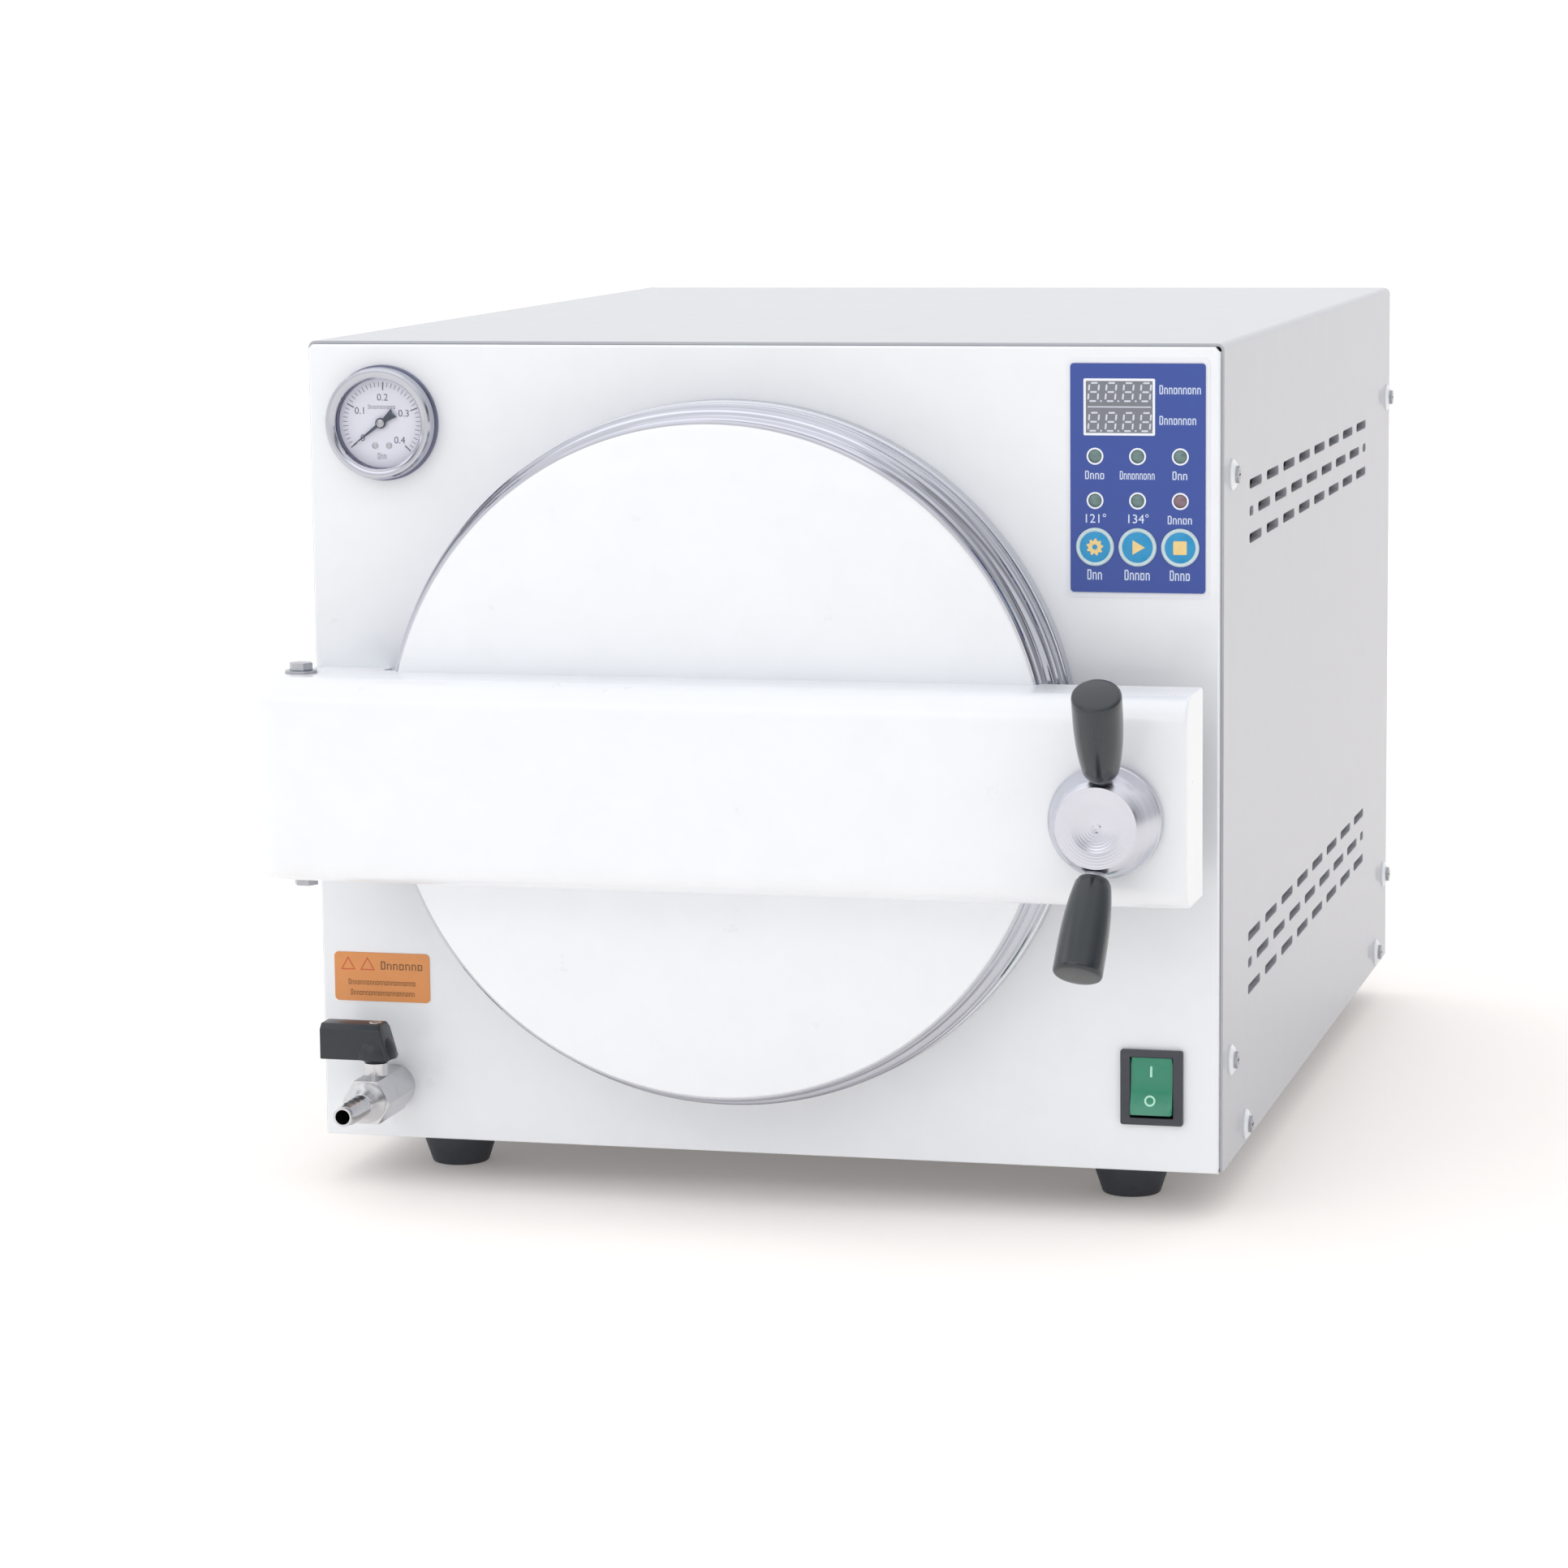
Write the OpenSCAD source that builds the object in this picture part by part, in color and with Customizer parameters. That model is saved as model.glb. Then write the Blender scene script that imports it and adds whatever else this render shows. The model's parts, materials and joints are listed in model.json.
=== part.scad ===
// Benchtop steam autoclave with a swinging round door, a door bar and a closing knob.
// X runs to the right, Y runs from the front to the back and Z up from the bench.
// Modules draw in the case's own frame: X from the case's centre line, Y from the
// face of the front panel, Z from the bench. placed() moves that frame so that the
// origin is under the middle of the whole machine.

/* [Case] */
// Width over the cover
case_w = 395; // [390:1:405]
// Height of the case without its feet
case_h = 345; // [342:1:352]
// Depth from the front panel to the rear panel
case_d = 525; // [515:1:560]
// Thickness of the folded steel sheet
sheet = 1.2; // [1:0.1:1.4]
// Height of the rubber feet
foot_h = 20; // [16:1:22]

/* [Chamber] */
// Inside radius of the pressure chamber
chamber_r = 125; // [122:0.5:126]
// Inside depth of the pressure chamber, from the mouth
chamber_l = 360; // [340:5:370]
// Offset of the chamber from the case's centre line
chamber_x = -10; // [-12:0.5:-8]
// Outside radius of the polished ring round the mouth
mouth_r = 149; // [148:0.5:150]

/* [Door] */
// Outside radius of the door's polished rim
rim_r = 148; // [146:0.5:148]
// Radius of the white door cover
cover_r = 141; // [138:0.5:142]
// How far the door cover stands in front of the panel
cover_front = 38; // [37:0.5:39]
// Height of the door bar
bar_h = 86; // [80:1:90]
// How far the door bar's face stands in front of the panel
bar_front = 72; // [71:0.5:74]
// Height of the bar's centre line above the chamber's, negative is below
bar_drop = -7; // [-10:0.5:0]
// Sheet thickness of the door bar
bar_sheet = 2; // [1.5:0.1:2.5]
// Radius of the door bar's long edges
bar_edge_r = 12; // [10:0.5:14]
// Radius of the bar's rounded left end, seen from above
bar_end_r = 26; // [25:0.5:28]

/* [Closing knob] */
// Distance of the knob from the case's centre line
knob_x = 163; // [160:0.5:164]
// Height of the knob above the bar's centre line, negative is below
knob_drop = -6; // [-7:0.5:0]
// Radius of the knob's rear flange
knob_r = 23; // [20:0.5:25]
// Length of the knob in front of the bar
knob_l = 24; // [22:0.5:28]
// Lean of the lever rods out of the upright plane
lever_lean = 33; // [28:1:38]
// Turn of the levers about the knob's axis, clockwise from the front
lever_turn = 4; // [0:1:8]
// Length of a black grip
grip_l = 42; // [38:1:50]

/* [Gauge and keypad] */
// Outside radius of the gauge's flange
gauge_r = 24.6; // [24.4:0.1:26]
// Width of the keypad
keypad_w = 56; // [54:0.5:60]
// Height of the keypad
keypad_h = 94; // [90:0.5:98]
// Travel of a key
key_travel = 0.6; // [0.4:0.1:0.8]

/* [Drain valve] */
// Radius over the corners of the valve's hexagon
hex_r = 10.7; // [10:0.1:11.5]
// Length of the valve lever
valve_lever_l = 31; // [28:1:36]

/* [Hidden] */
$fn = 72;

// Small amounts: a fitting gap, a running clearance and an overlap for cuts
gap = 0.1;
run = 0.06;
cut = 1;

// Case
base_z = foot_h;
top_z = foot_h + case_h;
inner_w = case_w - 2 * (sheet + gap);
inner_top = top_z - sheet - gap;
cover_set_back = 4;
cover_bend_r = 3;
panel_flange = 34;
rear_flange = 26;
foot_x = 151;
foot_front_y = 48;
foot_rear_y = case_d - 60;
foot_top_r = 16.8;
foot_bottom_r = 12.3;
foot_band = 6.5;
pan_side_h = 32;
tray_side_low = base_z + pan_side_h + 2;
tray_top_depth = 16;
fold_notch = 2;
screw_high = base_z + 290;
screw_low = base_z + 44;
screw_foot = base_z + 8;
side_screw_spots = [
    [24, screw_high], [24, screw_low], [case_d - 12, screw_high],
    [case_d - 12, screw_low], [64, screw_foot], [case_d - 40, screw_foot]
];
screw_r = 1.9;
screw_hole_r = 2.1;
washer_r = 6.5;
washer_h = 1.8;
screw_head_h = 1.5;

// Louvre slots: two groups of three rows in brick bond
slot_first_y = 70;
slot_l = 34;
slot_h = 5;
slot_count = 8;
slot_pitch = 47.4;
slot_last_y = slot_first_y + (slot_count - 1) * slot_pitch + slot_l;
half_slot_l = 11;
slot_rows = [base_z + 65, base_z + 76.5, base_z + 88, base_z + 259, base_z + 270.5, base_z + 282];

// Chamber
chamber_z = base_z + case_h / 2;
chamber_flat = chamber_r * cos(180 / $fn);
mouth_front = -8;
mouth_back = 8;
spigot_r = 142;
vessel_wall = 1.5;
vessel_end = mouth_front + chamber_l;
end_plate = 3;
vessel_back = vessel_end + end_plate;
jacket_front = 40;
jacket_back = 318;
jacket_r = chamber_r + vessel_wall + 14;
saddle_w = 140;
saddle_foot = 48;
saddle_t = 3;
drain_port_y = 60;
drain_port_l = 12;
port_r = 5;
port_bore = 3;
gauge_port = [chamber_x - 50, chamber_z + 70];
safety_port = [chamber_x + 50, chamber_z + 90];
exhaust_port = [chamber_x - 60, chamber_z - 40];
element_x = 45;
element_z = chamber_z - 108;
element_r = 4;
cover_plate_drop = 94;
rack_half = 88;
rack_front = 18;
rack_l = 324;
rack_window = [92, 26];
rack_window_pitch = 104;
rail_w = 8.4;
rack_low = chamber_z - sqrt(pow(chamber_flat, 2) - pow(rack_half + sheet, 2)) + 0.2;
rack_high = chamber_z + 62;
tray_levels = [chamber_z - 62, chamber_z - 22, chamber_z + 18];
tray_half = 84;
tray_front = 25;
tray_back = 335;
tray_h = 20;
tray_t = 1;

// Door, bar and hinge
bar_z = chamber_z + bar_drop;
hinge_x = -186;
hinge_y = -bar_front + bar_end_r;
bar_right = 195;
bar_back = 6;
hinge_r = 3;
hinge_head_r = 5.2;
hinge_head_h = 3.2;
lug_t = 5.5;
lug_top = bar_h / 2 - bar_sheet - 1;
lug_r = 6.5;
eye_r = 13;
lug_elbow = [17, 14];
bracket_t = 3;
bracket_left = 5;
bracket_depth = 18.5;
web_start = 24;
hinge_washer_r = 6.8;
inner_washer_t = 0.9;
outer_washer_t = 1;
core_half = 26;
core_back = 60;
core_left = -150;
plate_front = 24;
pivot_r = 10;
spacer_r = 16;

// Knob, spindle and latch
knob_z = bar_z + knob_drop;
spindle_r = 5;
collar_r = 8;
knob_back = -bar_front - 0.6;
knob_front = knob_back - knob_l;
knob_front_r = 17.3;
lever_y = knob_back - 6;
rod_r = 4;
rod_start = 12;
rod_end = 44;
grip_start = 25;
grip_thin = 7.3;
grip_thick = 10;
cap_in = 1.2;
cap_back = 0.8;
head_half = 12;
head_h = 4.5;
head_front = 9;
head_back = 17;
latch_left = 13.5;
latch_right = 17.5;
latch_h = 6;
keeper_t = 6;

// Gauge
gauge_x = -case_w / 2 + 34.5;
gauge_z = base_z + 310.5;
bezel_r = 23.8;
window_r = 19.2;
lens_r = 20.4;
dial_r = 20.2;
needle_rest = 217;
arbor_r = 1.1;

// Keypad: places are measured from the keypad's centre
keypad_x = case_w / 2 - 35;
keypad_z = base_z + 290;
keypad_corner = 1.5;
side_lap = 1.5;
end_lap = 6;
lamp_pitch = keypad_w * 0.316;
lamp_r = 2.7;
lamp_rows = [9, -9.2];
key_row = -28.3;
key_r = 7.9;
key_back = 8.4 - key_travel;
display_w = 29.6;
display_h = 23.2;
display_left = -22.4;
display_z = keypad_h / 2 - 17.8;
board_y = 12;
board_w = keypad_w + 4;
board_h = keypad_h + 2;
stud_in = 2.6;
stud_r = 1.5;

// Rocker switch
switch_x = case_w / 2 - 29;
switch_z = base_z + 36;
switch_w = 26.3;
switch_h = 31.8;
rocker_w = 17.6;
rocker_half = 12;
rocker_pivot = 2;
rocker_tilt = 8;
rocker_pin = 1.2;
pin_reach = 1.5;

// Label under the bar
label_x = -case_w / 2 + 28.3;
label_z = base_z + 70.4;
label_w = 43.4;
label_h = 21.4;

// Drain valve
valve_x = -case_w / 2 + 33;
valve_z = base_z + 23;
valve_l = 38;
stem_y = -24;
stem_r = 2.5;
barb_l = 30;
barb_bore = 3.2;
barb_root = 4.1;
barb_ridge = 4.9;
barb_shoulder = 8.8;
lever_z = valve_z + 16.7;
lever_h = 15.5;
lever_half = 7;
lever_tail = 8;

// Rear panel fittings
inlet_x = 120;
inlet_z = base_z + 45;
inlet_w = 24.5;
inlet_h = 16.4;
inlet_deep = 17;
inlet_plate = [48, 23];
inlet_screw_x = 20;
inlet_pins = [[-7, -1], [7, -1], [0, 3]];
fuse_x = [60, 82];
fuse_z = base_z + 45;
fuse_r = 6;
fuse_ring_r = 8.5;
fuse_ring_t = 2.5;
fuse_cap_r = 6.8;
fuse_cap_l = 6.5;
outlet_x = -120;
outlet_z = base_z + 40;
outlet_r = 5;
outlet_l = 18;
outlet_neck_r = 6;
outlet_nut_r = 9;
outlet_nut_l = 6;
outlet_in = 14;
solenoid_y = 440;
solenoid_body = [24, 32, 16];
solenoid_coil = [30, 30, 34];
solenoid_neck = 6;
safety_l = 32;
pull_ring_r = 7;
pull_wire_r = 1.1;

// Reach of the whole machine, for the origin
cap_s = grip_start + grip_l - cap_back;
front_reach = -lever_y + cap_s * sin(lever_lean) + (grip_thick - cap_in) * cos(lever_lean);
rear_reach = case_d + safety_l + pull_ring_r + pull_wire_r;
left_reach = -hinge_x + bar_end_r;
right_reach = case_w / 2 + washer_h + screw_head_h;
case_x = (left_reach - right_reach) / 2;
front_y = -(rear_reach - front_reach) / 2;

// ---- shared shapes ----

// Moves the case's own frame to the machine's origin
module placed() {
    translate([case_x, front_y, 0]) children();
}

// Turns an outline drawn as [x, z] to face the front and gives it a thickness, from y to y + t
module facing(y, t) {
    translate([0, y + t, 0]) rotate([90, 0, 0]) linear_extrude(t) children();
}

// Turns an outline drawn as [y, z] to face the side, from x to x + t
module sideways(x, t) {
    translate([x, 0, 0]) rotate([90, 0, 90]) linear_extrude(t) children();
}

// Turned body about a line along Y; the outline is drawn as [radius, y]
module turned(x, z) {
    translate([x, 0, z]) rotate([-90, 0, 0]) rotate_extrude() children();
}

// Cylinder along Y from y0 to y1
module rod_y(x, z, r, y0, y1) {
    translate([x, y0, z]) rotate([-90, 0, 0]) cylinder(r = r, h = y1 - y0);
}

// Hexagon bar along Y from y0 to y1
module hex_y(x, z, r, y0, y1) {
    translate([x, y0, z]) rotate([-90, 0, 0]) cylinder(r = r, h = y1 - y0, $fn = 6);
}

// Ring along Y
module ring_y(x, z, r_in, r_out, y0, y1) {
    turned(x, z) translate([r_in, y0]) square([r_out - r_in, y1 - y0]);
}

// Rectangle with round corners, centred
module rounded(w, h, r) {
    square([w - 2 * r, h], center = true);
    square([w, h - 2 * r], center = true);
    for (sx = [-1, 1], sz = [-1, 1]) {
        translate([sx * (w / 2 - r), sz * (h / 2 - r)]) circle(r);
    }
}

// Slot with round ends, from its left end and along its middle
module slot(l, h) {
    translate([h / 2, -h / 2]) square([l - h, h]);
    translate([h / 2, 0]) circle(h / 2, $fn = 24);
    translate([l - h / 2, 0]) circle(h / 2, $fn = 24);
}

// Flat bar between two points of an outline
module link(p, q, w) {
    d = q - p;
    translate(p) rotate(atan2(d[1], d[0])) translate([0, -w / 2]) square([norm(d), w]);
}

// Straight tube between two points in space
module tube(p, q, r) {
    d = q - p;
    translate(p)
        rotate([0, acos(d[2] / norm(d)), atan2(d[1], d[0])])
            cylinder(r = r, h = norm(d), $fn = 32);
}

// Bent tube through a list of points, with round corners
module pipe(points, r) {
    for (i = [0 : len(points) - 2]) tube(points[i], points[i + 1], r);
    for (i = [1 : len(points) - 2]) translate(points[i]) sphere(r, $fn = 32);
}

// ---- case ----

module louvre_rows() {
    for (i = [0 : len(slot_rows) - 1]) {
        shifted = i % 3 == 1;
        first = shifted ? slot_first_y + slot_pitch / 2 : slot_first_y;
        count = shifted ? slot_count - 1 : slot_count;
        for (k = [0 : count - 1]) translate([first + k * slot_pitch, slot_rows[i]]) slot(slot_l, slot_h);
        if (shifted) {
            translate([slot_first_y, slot_rows[i]]) slot(half_slot_l, slot_h);
            translate([slot_last_y - half_slot_l, slot_rows[i]]) slot(half_slot_l, slot_h);
        }
    }
}

module cover_section(w, top, r) {
    translate([-w / 2, base_z]) square([w, top - r - base_z]);
    translate([-w / 2 + r, base_z]) square([w - 2 * r, top - base_z]);
    for (s = [-1, 1]) translate([s * (w / 2 - r), top - r]) circle(r);
}

module side_holes(r) {
    for (spot = side_screw_spots) {
        translate([-case_w / 2 - cut, spot[0], spot[1]]) rotate([0, 90, 0])
            cylinder(r = r, h = case_w + 2 * cut);
    }
}

module case_cover() {
    placed() color("gainsboro") difference() {
        facing(cover_set_back, case_d - cover_set_back) difference() {
            cover_section(case_w, top_z, cover_bend_r);
            translate([0, -cut])
                cover_section(case_w - 2 * sheet, top_z - sheet + cut, cover_bend_r - sheet);
        }
        sideways(-case_w / 2 - cut, case_w + 2 * cut) louvre_rows();
        side_holes(screw_hole_r);
    }
}

module base_pan() {
    placed() color("silver") difference() {
        union() {
            translate([-inner_w / 2, sheet + gap, base_z])
                cube([inner_w, case_d - 2 * (sheet + gap), sheet]);
            for (s = [-1, 1]) {
                translate([s * (inner_w - sheet) / 2 - sheet / 2, panel_flange + 4, base_z])
                    cube([sheet, case_d - panel_flange - rear_flange - 8, pan_side_h]);
            }
        }
        side_holes(screw_hole_r);
        for (sx = [-1, 1], y = [foot_front_y, foot_rear_y]) {
            translate([sx * foot_x, y, base_z - cut]) cylinder(r = screw_hole_r, h = sheet + 2 * cut);
        }
    }
}

// Folded edges of a front or rear tray: two sides and the top, notched at the corners
module tray_edges(y, depth) {
    side_h = inner_top - fold_notch - tray_side_low;
    top_y = y > case_d / 2 ? y + depth - tray_top_depth : y;
    for (s = [-1, 1]) {
        translate([s * (inner_w - sheet) / 2 - sheet / 2, y, tray_side_low])
            cube([sheet, depth, side_h]);
    }
    translate([-inner_w / 2 + fold_notch, top_y, inner_top - sheet])
        cube([inner_w - 2 * fold_notch, tray_top_depth, sheet]);
}

// Outline of a front or rear tray's face, its top corners cut to clear the cover's bends
module tray_face() {
    w = inner_w / 2;
    translate([0, inner_top]) polygon([
        [-w, base_z - inner_top], [w, base_z - inner_top], [w, -fold_notch],
        [w - fold_notch, 0], [fold_notch - w, 0], [-w, -fold_notch]
    ]);
}

module latch_slot(extra) {
    translate([knob_x, knob_z]) {
        translate([-latch_left - extra, -latch_h - extra])
            square([latch_left + latch_right + 2 * extra, 2 * (latch_h + extra)]);
    }
}

// Places its children at the four corners of the control board
module at_board_corners() {
    for (sx = [-1, 1], sz = [-1, 1]) {
        translate([keypad_x + sx * (board_w / 2 - stud_in), 0, keypad_z + sz * (board_h / 2 - stud_in)])
            children();
    }
}

module front_panel() {
    placed() color("white") difference() {
        union() {
            facing(0, sheet) difference() {
                tray_face();
                translate([chamber_x, chamber_z]) circle(spigot_r + 0.4);
                translate([gauge_x, gauge_z]) circle(bezel_r - 0.2);
                translate([keypad_x, keypad_z])
                    square([keypad_w - 2 * side_lap, keypad_h - 2 * end_lap], center = true);
                translate([switch_x, switch_z]) square([switch_w - 4, switch_h - 3.5], center = true);
                translate([valve_x, valve_z]) circle(6.6);
                latch_slot(0.5);
            }
            tray_edges(sheet, panel_flange - sheet);
            at_board_corners() {
                rod_y(0, 0, 3, sheet, board_y);
                rod_y(0, 0, stud_r, board_y, board_y + 4);
            }
        }
        side_holes(screw_hole_r);
    }
}

module rear_panel() {
    back = case_d - sheet;
    placed() color("gainsboro") difference() {
        union() {
            facing(back, sheet) difference() {
                tray_face();
                translate([inlet_x, inlet_z]) square([inlet_w + 3.4, inlet_h + 3.4], center = true);
                for (x = fuse_x) translate([x, fuse_z]) circle(fuse_r + gap);
                translate([outlet_x, outlet_z]) circle(outlet_neck_r + gap);
                translate(safety_port) circle(6.6);
                for (row = [0 : 4], side = [-1, 1]) {
                    translate([side * 90 - 40, base_z + 120 + row * 14]) slot(80, 5);
                }
            }
            tray_edges(back - rear_flange, rear_flange);
        }
        side_holes(screw_hole_r);
    }
}

module at_feet() {
    for (sx = [-1, 1], y = [foot_front_y, foot_rear_y]) translate([sx * foot_x, y, 0]) children();
}

module rubber_feet() {
    placed() color("dimgray") at_feet() rotate_extrude() polygon([
        [screw_hole_r, 7], [5.5, 7], [5.5, 0], [foot_bottom_r - 0.8, 0], [foot_bottom_r, 0.8],
        [foot_top_r, foot_h - foot_band], [foot_top_r, foot_h], [screw_hole_r, foot_h]
    ]);
}

module foot_screws() {
    placed() color("silver") at_feet() {
        translate([0, 0, 4.4]) cylinder(r = 4, h = 2.6);
        translate([0, 0, 7]) cylinder(r = screw_r, h = foot_h + sheet + 4 - 7);
    }
}

// Places its children at each side screw, with Z pointing out of the case
module at_side_screws() {
    for (spot = side_screw_spots, s = [-1, 1]) {
        translate([s * case_w / 2, spot[0], spot[1]]) rotate([0, s * 90, 0]) children();
    }
}

module side_screws() {
    placed() color("silver") at_side_screws() difference() {
        union() {
            translate([0, 0, washer_h]) cylinder(r = 3.6, h = screw_head_h);
            translate([0, 0, -8]) cylinder(r = screw_r, h = 8 + washer_h);
        }
        for (a = [0, 90]) rotate(a) translate([-2, -0.4, washer_h + screw_head_h - 0.9]) cube([4, 0.8, cut]);
    }
}

module cup_washers() {
    placed() color("white") at_side_screws() rotate_extrude() polygon([
        [screw_hole_r, 0.6], [3, 0.6], [4.4, 0], [washer_r, 0], [washer_r, 0.6],
        [5, washer_h], [screw_hole_r, washer_h]
    ]);
}

// ---- chamber ----

module chamber_flange() {
    placed() color("lightgray") turned(chamber_x, chamber_z) polygon([
        [chamber_r, mouth_front], [mouth_r - 1, mouth_front], [mouth_r, mouth_front + 1],
        [mouth_r, 0], [spigot_r, 0], [spigot_r, mouth_back], [chamber_r, mouth_back]
    ]);
}

module chamber_vessel() {
    out_r = chamber_r + vessel_wall;
    placed() color("silver") difference() {
        union() {
            turned(chamber_x, chamber_z) polygon([
                [chamber_r, mouth_back], [out_r, mouth_back], [out_r, vessel_back],
                [0, vessel_back], [0, vessel_end], [chamber_r, vessel_end]
            ]);
            translate([chamber_x, drain_port_y, chamber_z - out_r - drain_port_l])
                cylinder(r = port_r, h = drain_port_l + 1);
            for (p = [gauge_port, safety_port, exhaust_port]) {
                rod_y(p[0], p[1], port_r, vessel_back - 0.5, vessel_back + 10);
            }
        }
        translate([chamber_x, drain_port_y, chamber_z - out_r - drain_port_l - cut])
            cylinder(r = port_bore, h = drain_port_l + 6);
        for (p = [gauge_port, safety_port, exhaust_port]) {
            rod_y(p[0], p[1], port_bore, vessel_end - cut, vessel_back + 10 + cut);
        }
        for (s = [-1, 1]) {
            rod_y(chamber_x + s * element_x, element_z, element_r + run, vessel_end - cut,
                vessel_back + cut);
        }
        rod_y(chamber_x, chamber_z, 3 + run, vessel_end - cut, vessel_back + cut);
    }
}

module chamber_saddles() {
    half = saddle_w / 2;
    low = base_z + sheet;
    placed() color("silver") for (y = [jacket_front - 10, jacket_back + 8]) {
        facing(y, saddle_t) difference() {
            translate([chamber_x - half, low]) square([saddle_w, 80]);
            translate([chamber_x, chamber_z]) circle(chamber_r + vessel_wall);
            translate([chamber_x, low + 14]) circle(8);
        }
        for (x = [chamber_x - half, chamber_x + half - saddle_foot]) {
            translate([x, y + saddle_t, low]) cube([saddle_foot, 9, saddle_t]);
        }
    }
}

module insulation_jacket() {
    placed() color("lightgoldenrodyellow") difference() {
        ring_y(chamber_x, chamber_z, chamber_r + vessel_wall + gap, jacket_r, jacket_front, jacket_back);
        translate([chamber_x, drain_port_y, base_z]) cylinder(r = port_r + 1, h = 60);
    }
}

module heating_element() {
    front = 40;
    bend = 14;
    placed() color("dimgray") translate([chamber_x, 0, element_z]) {
        for (s = [-1, 1]) {
            rod_y(s * element_x, 0, element_r, front, vessel_back + 16);
            translate([s * (element_x - bend), front, 0]) rotate([0, 0, s > 0 ? 270 : 180])
                rotate_extrude(angle = 90) translate([bend, 0]) circle(element_r);
        }
        translate([-element_x + bend, front - bend, 0]) rotate([0, 90, 0])
            cylinder(r = element_r, h = 2 * (element_x - bend));
    }
}

module element_cover() {
    half = sqrt(pow(chamber_flat, 2) - pow(cover_plate_drop, 2)) - 0.05;
    placed() color("silver") translate([chamber_x, 0, chamber_z - cover_plate_drop]) {
        linear_extrude(sheet) difference() {
            translate([-half, 12]) square([2 * half, vessel_end - 20]);
            for (ix = [-2 : 2], iy = [0 : 9]) translate([ix * 28, 35 + iy * 31]) circle(6);
        }
    }
}

module tray_rack() {
    placed() color("silver") translate([chamber_x, 0, 0]) {
        for (s = [-1, 1]) {
            sideways(s * rack_half - (s > 0 ? 0 : sheet), sheet) difference() {
                translate([rack_front, rack_low]) square([rack_l, rack_high - rack_low]);
                for (k = [0 : 2], row = tray_levels) {
                    translate([rack_front + 12 + k * rack_window_pitch, row + 4]) square(rack_window);
                }
            }
            for (level = tray_levels) {
                translate([s * (rack_half - rail_w / 2) - rail_w / 2, rack_front, level - sheet])
                    cube([rail_w, rack_l, sheet]);
            }
        }
        for (y = [rack_front + 6, rack_front + rack_l - 6], z = [rack_low + 3, rack_high - 3]) {
            translate([-rack_half, y, z]) rotate([0, 90, 0]) cylinder(r = 2.5, h = 2 * rack_half);
        }
    }
}

module instrument_trays() {
    w = 2 * tray_half;
    l = tray_back - tray_front;
    left = chamber_x - tray_half;
    placed() color("silver") for (level = tray_levels) translate([left, tray_front, level]) {
        linear_extrude(tray_t) difference() {
            square([w, l]);
            for (ix = [1 : 5], iy = [1 : 9]) translate([ix * w / 6, iy * l / 10]) circle(5);
        }
        difference() {
            translate([0, 0, tray_t]) cube([w, l, tray_h - tray_t]);
            translate([tray_t, tray_t, 0]) cube([w - 2 * tray_t, l - 2 * tray_t, tray_h + cut]);
        }
    }
}

module temperature_probe() {
    placed() color("silver") {
        rod_y(chamber_x, chamber_z, 3, tray_back + 12, vessel_back + 18);
        hex_y(chamber_x, chamber_z, 8, vessel_back, vessel_back + 7);
    }
}

// ---- pressure gauge ----

module gauge_case() {
    placed() color("silver") turned(gauge_x, gauge_z) polygon([
        [dial_r - 1, -1.5], [gauge_r, -1.5], [gauge_r, 0], [bezel_r - 0.4, 0],
        [bezel_r - 0.4, 26], [6, 26], [6, 40], [0, 40], [0, 13], [arbor_r + run, 13],
        [arbor_r + run, 8], [5, 8], [5, 24],
        [bezel_r - 1.6, 24], [bezel_r - 1.6, 0.5], [dial_r - 1, 0.5]
    ]);
}

module gauge_bezel() {
    placed() color("silver") turned(gauge_x, gauge_z) polygon([
        [window_r, -7.2], [window_r + 1.2, -8], [bezel_r - 2.5, -8.6], [bezel_r - 0.8, -7.8],
        [bezel_r, -6.4], [bezel_r, -1.5], [lens_r + 0.2, -1.5], [lens_r + 0.2, -6.6], [window_r, -6.6]
    ]);
}

module gauge_lens() {
    placed() color("aliceblue", 0.4) rod_y(gauge_x, gauge_z, lens_r, -6.6, -5.4);
}

module gauge_dial() {
    placed() color("lavender") ring_y(gauge_x, gauge_z, arbor_r + run, dial_r, -2.3, -1.5);
}

module gauge_needle() {
    placed() color("darkslategray") {
        facing(-4.2, 0.6) translate([gauge_x, gauge_z]) rotate(needle_rest) {
            polygon([[0, -0.9], [15.5, -0.15], [15.5, 0.15], [0, 0.9]]);
            polygon([[-7.4, -2.2], [0, -0.9], [0, 0.9], [-7.4, 2.2]]);
            circle(2.3);
        }
        rod_y(gauge_x, gauge_z, arbor_r, -3.8, 12);
    }
}

module gauge_tube() {
    back = vessel_back + 24;
    high = top_z - 20;
    p = gauge_port;
    placed() color("peru") pipe([
        [p[0], vessel_back + 10, p[1]], [p[0], back, p[1]], [p[0], back, high],
        [gauge_x, back, high], [gauge_x, 52, high], [gauge_x, 52, gauge_z], [gauge_x, 40, gauge_z]
    ], 2);
}

// ---- keypad ----

module keypad_outline() {
    translate([keypad_x, keypad_z]) difference() {
        rounded(keypad_w, keypad_h, keypad_corner);
        translate([display_left + display_w / 2, display_z]) square([display_w, display_h], center = true);
        for (ix = [-1 : 1], row = lamp_rows) translate([ix * lamp_pitch, row]) circle(lamp_r + run);
        for (ix = [-1 : 1]) translate([ix * lamp_pitch, key_row]) circle(key_r + run);
    }
}

module keypad_overlay() {
    placed() color("royalblue") facing(-1, 1) keypad_outline();
}

module display_module() {
    placed() color("lightgray") facing(-0.8, board_y + 0.8)
        translate([keypad_x + display_left + display_w / 2, keypad_z + display_z])
            square([display_w - 0.2, display_h - 0.2], center = true);
}

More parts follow.
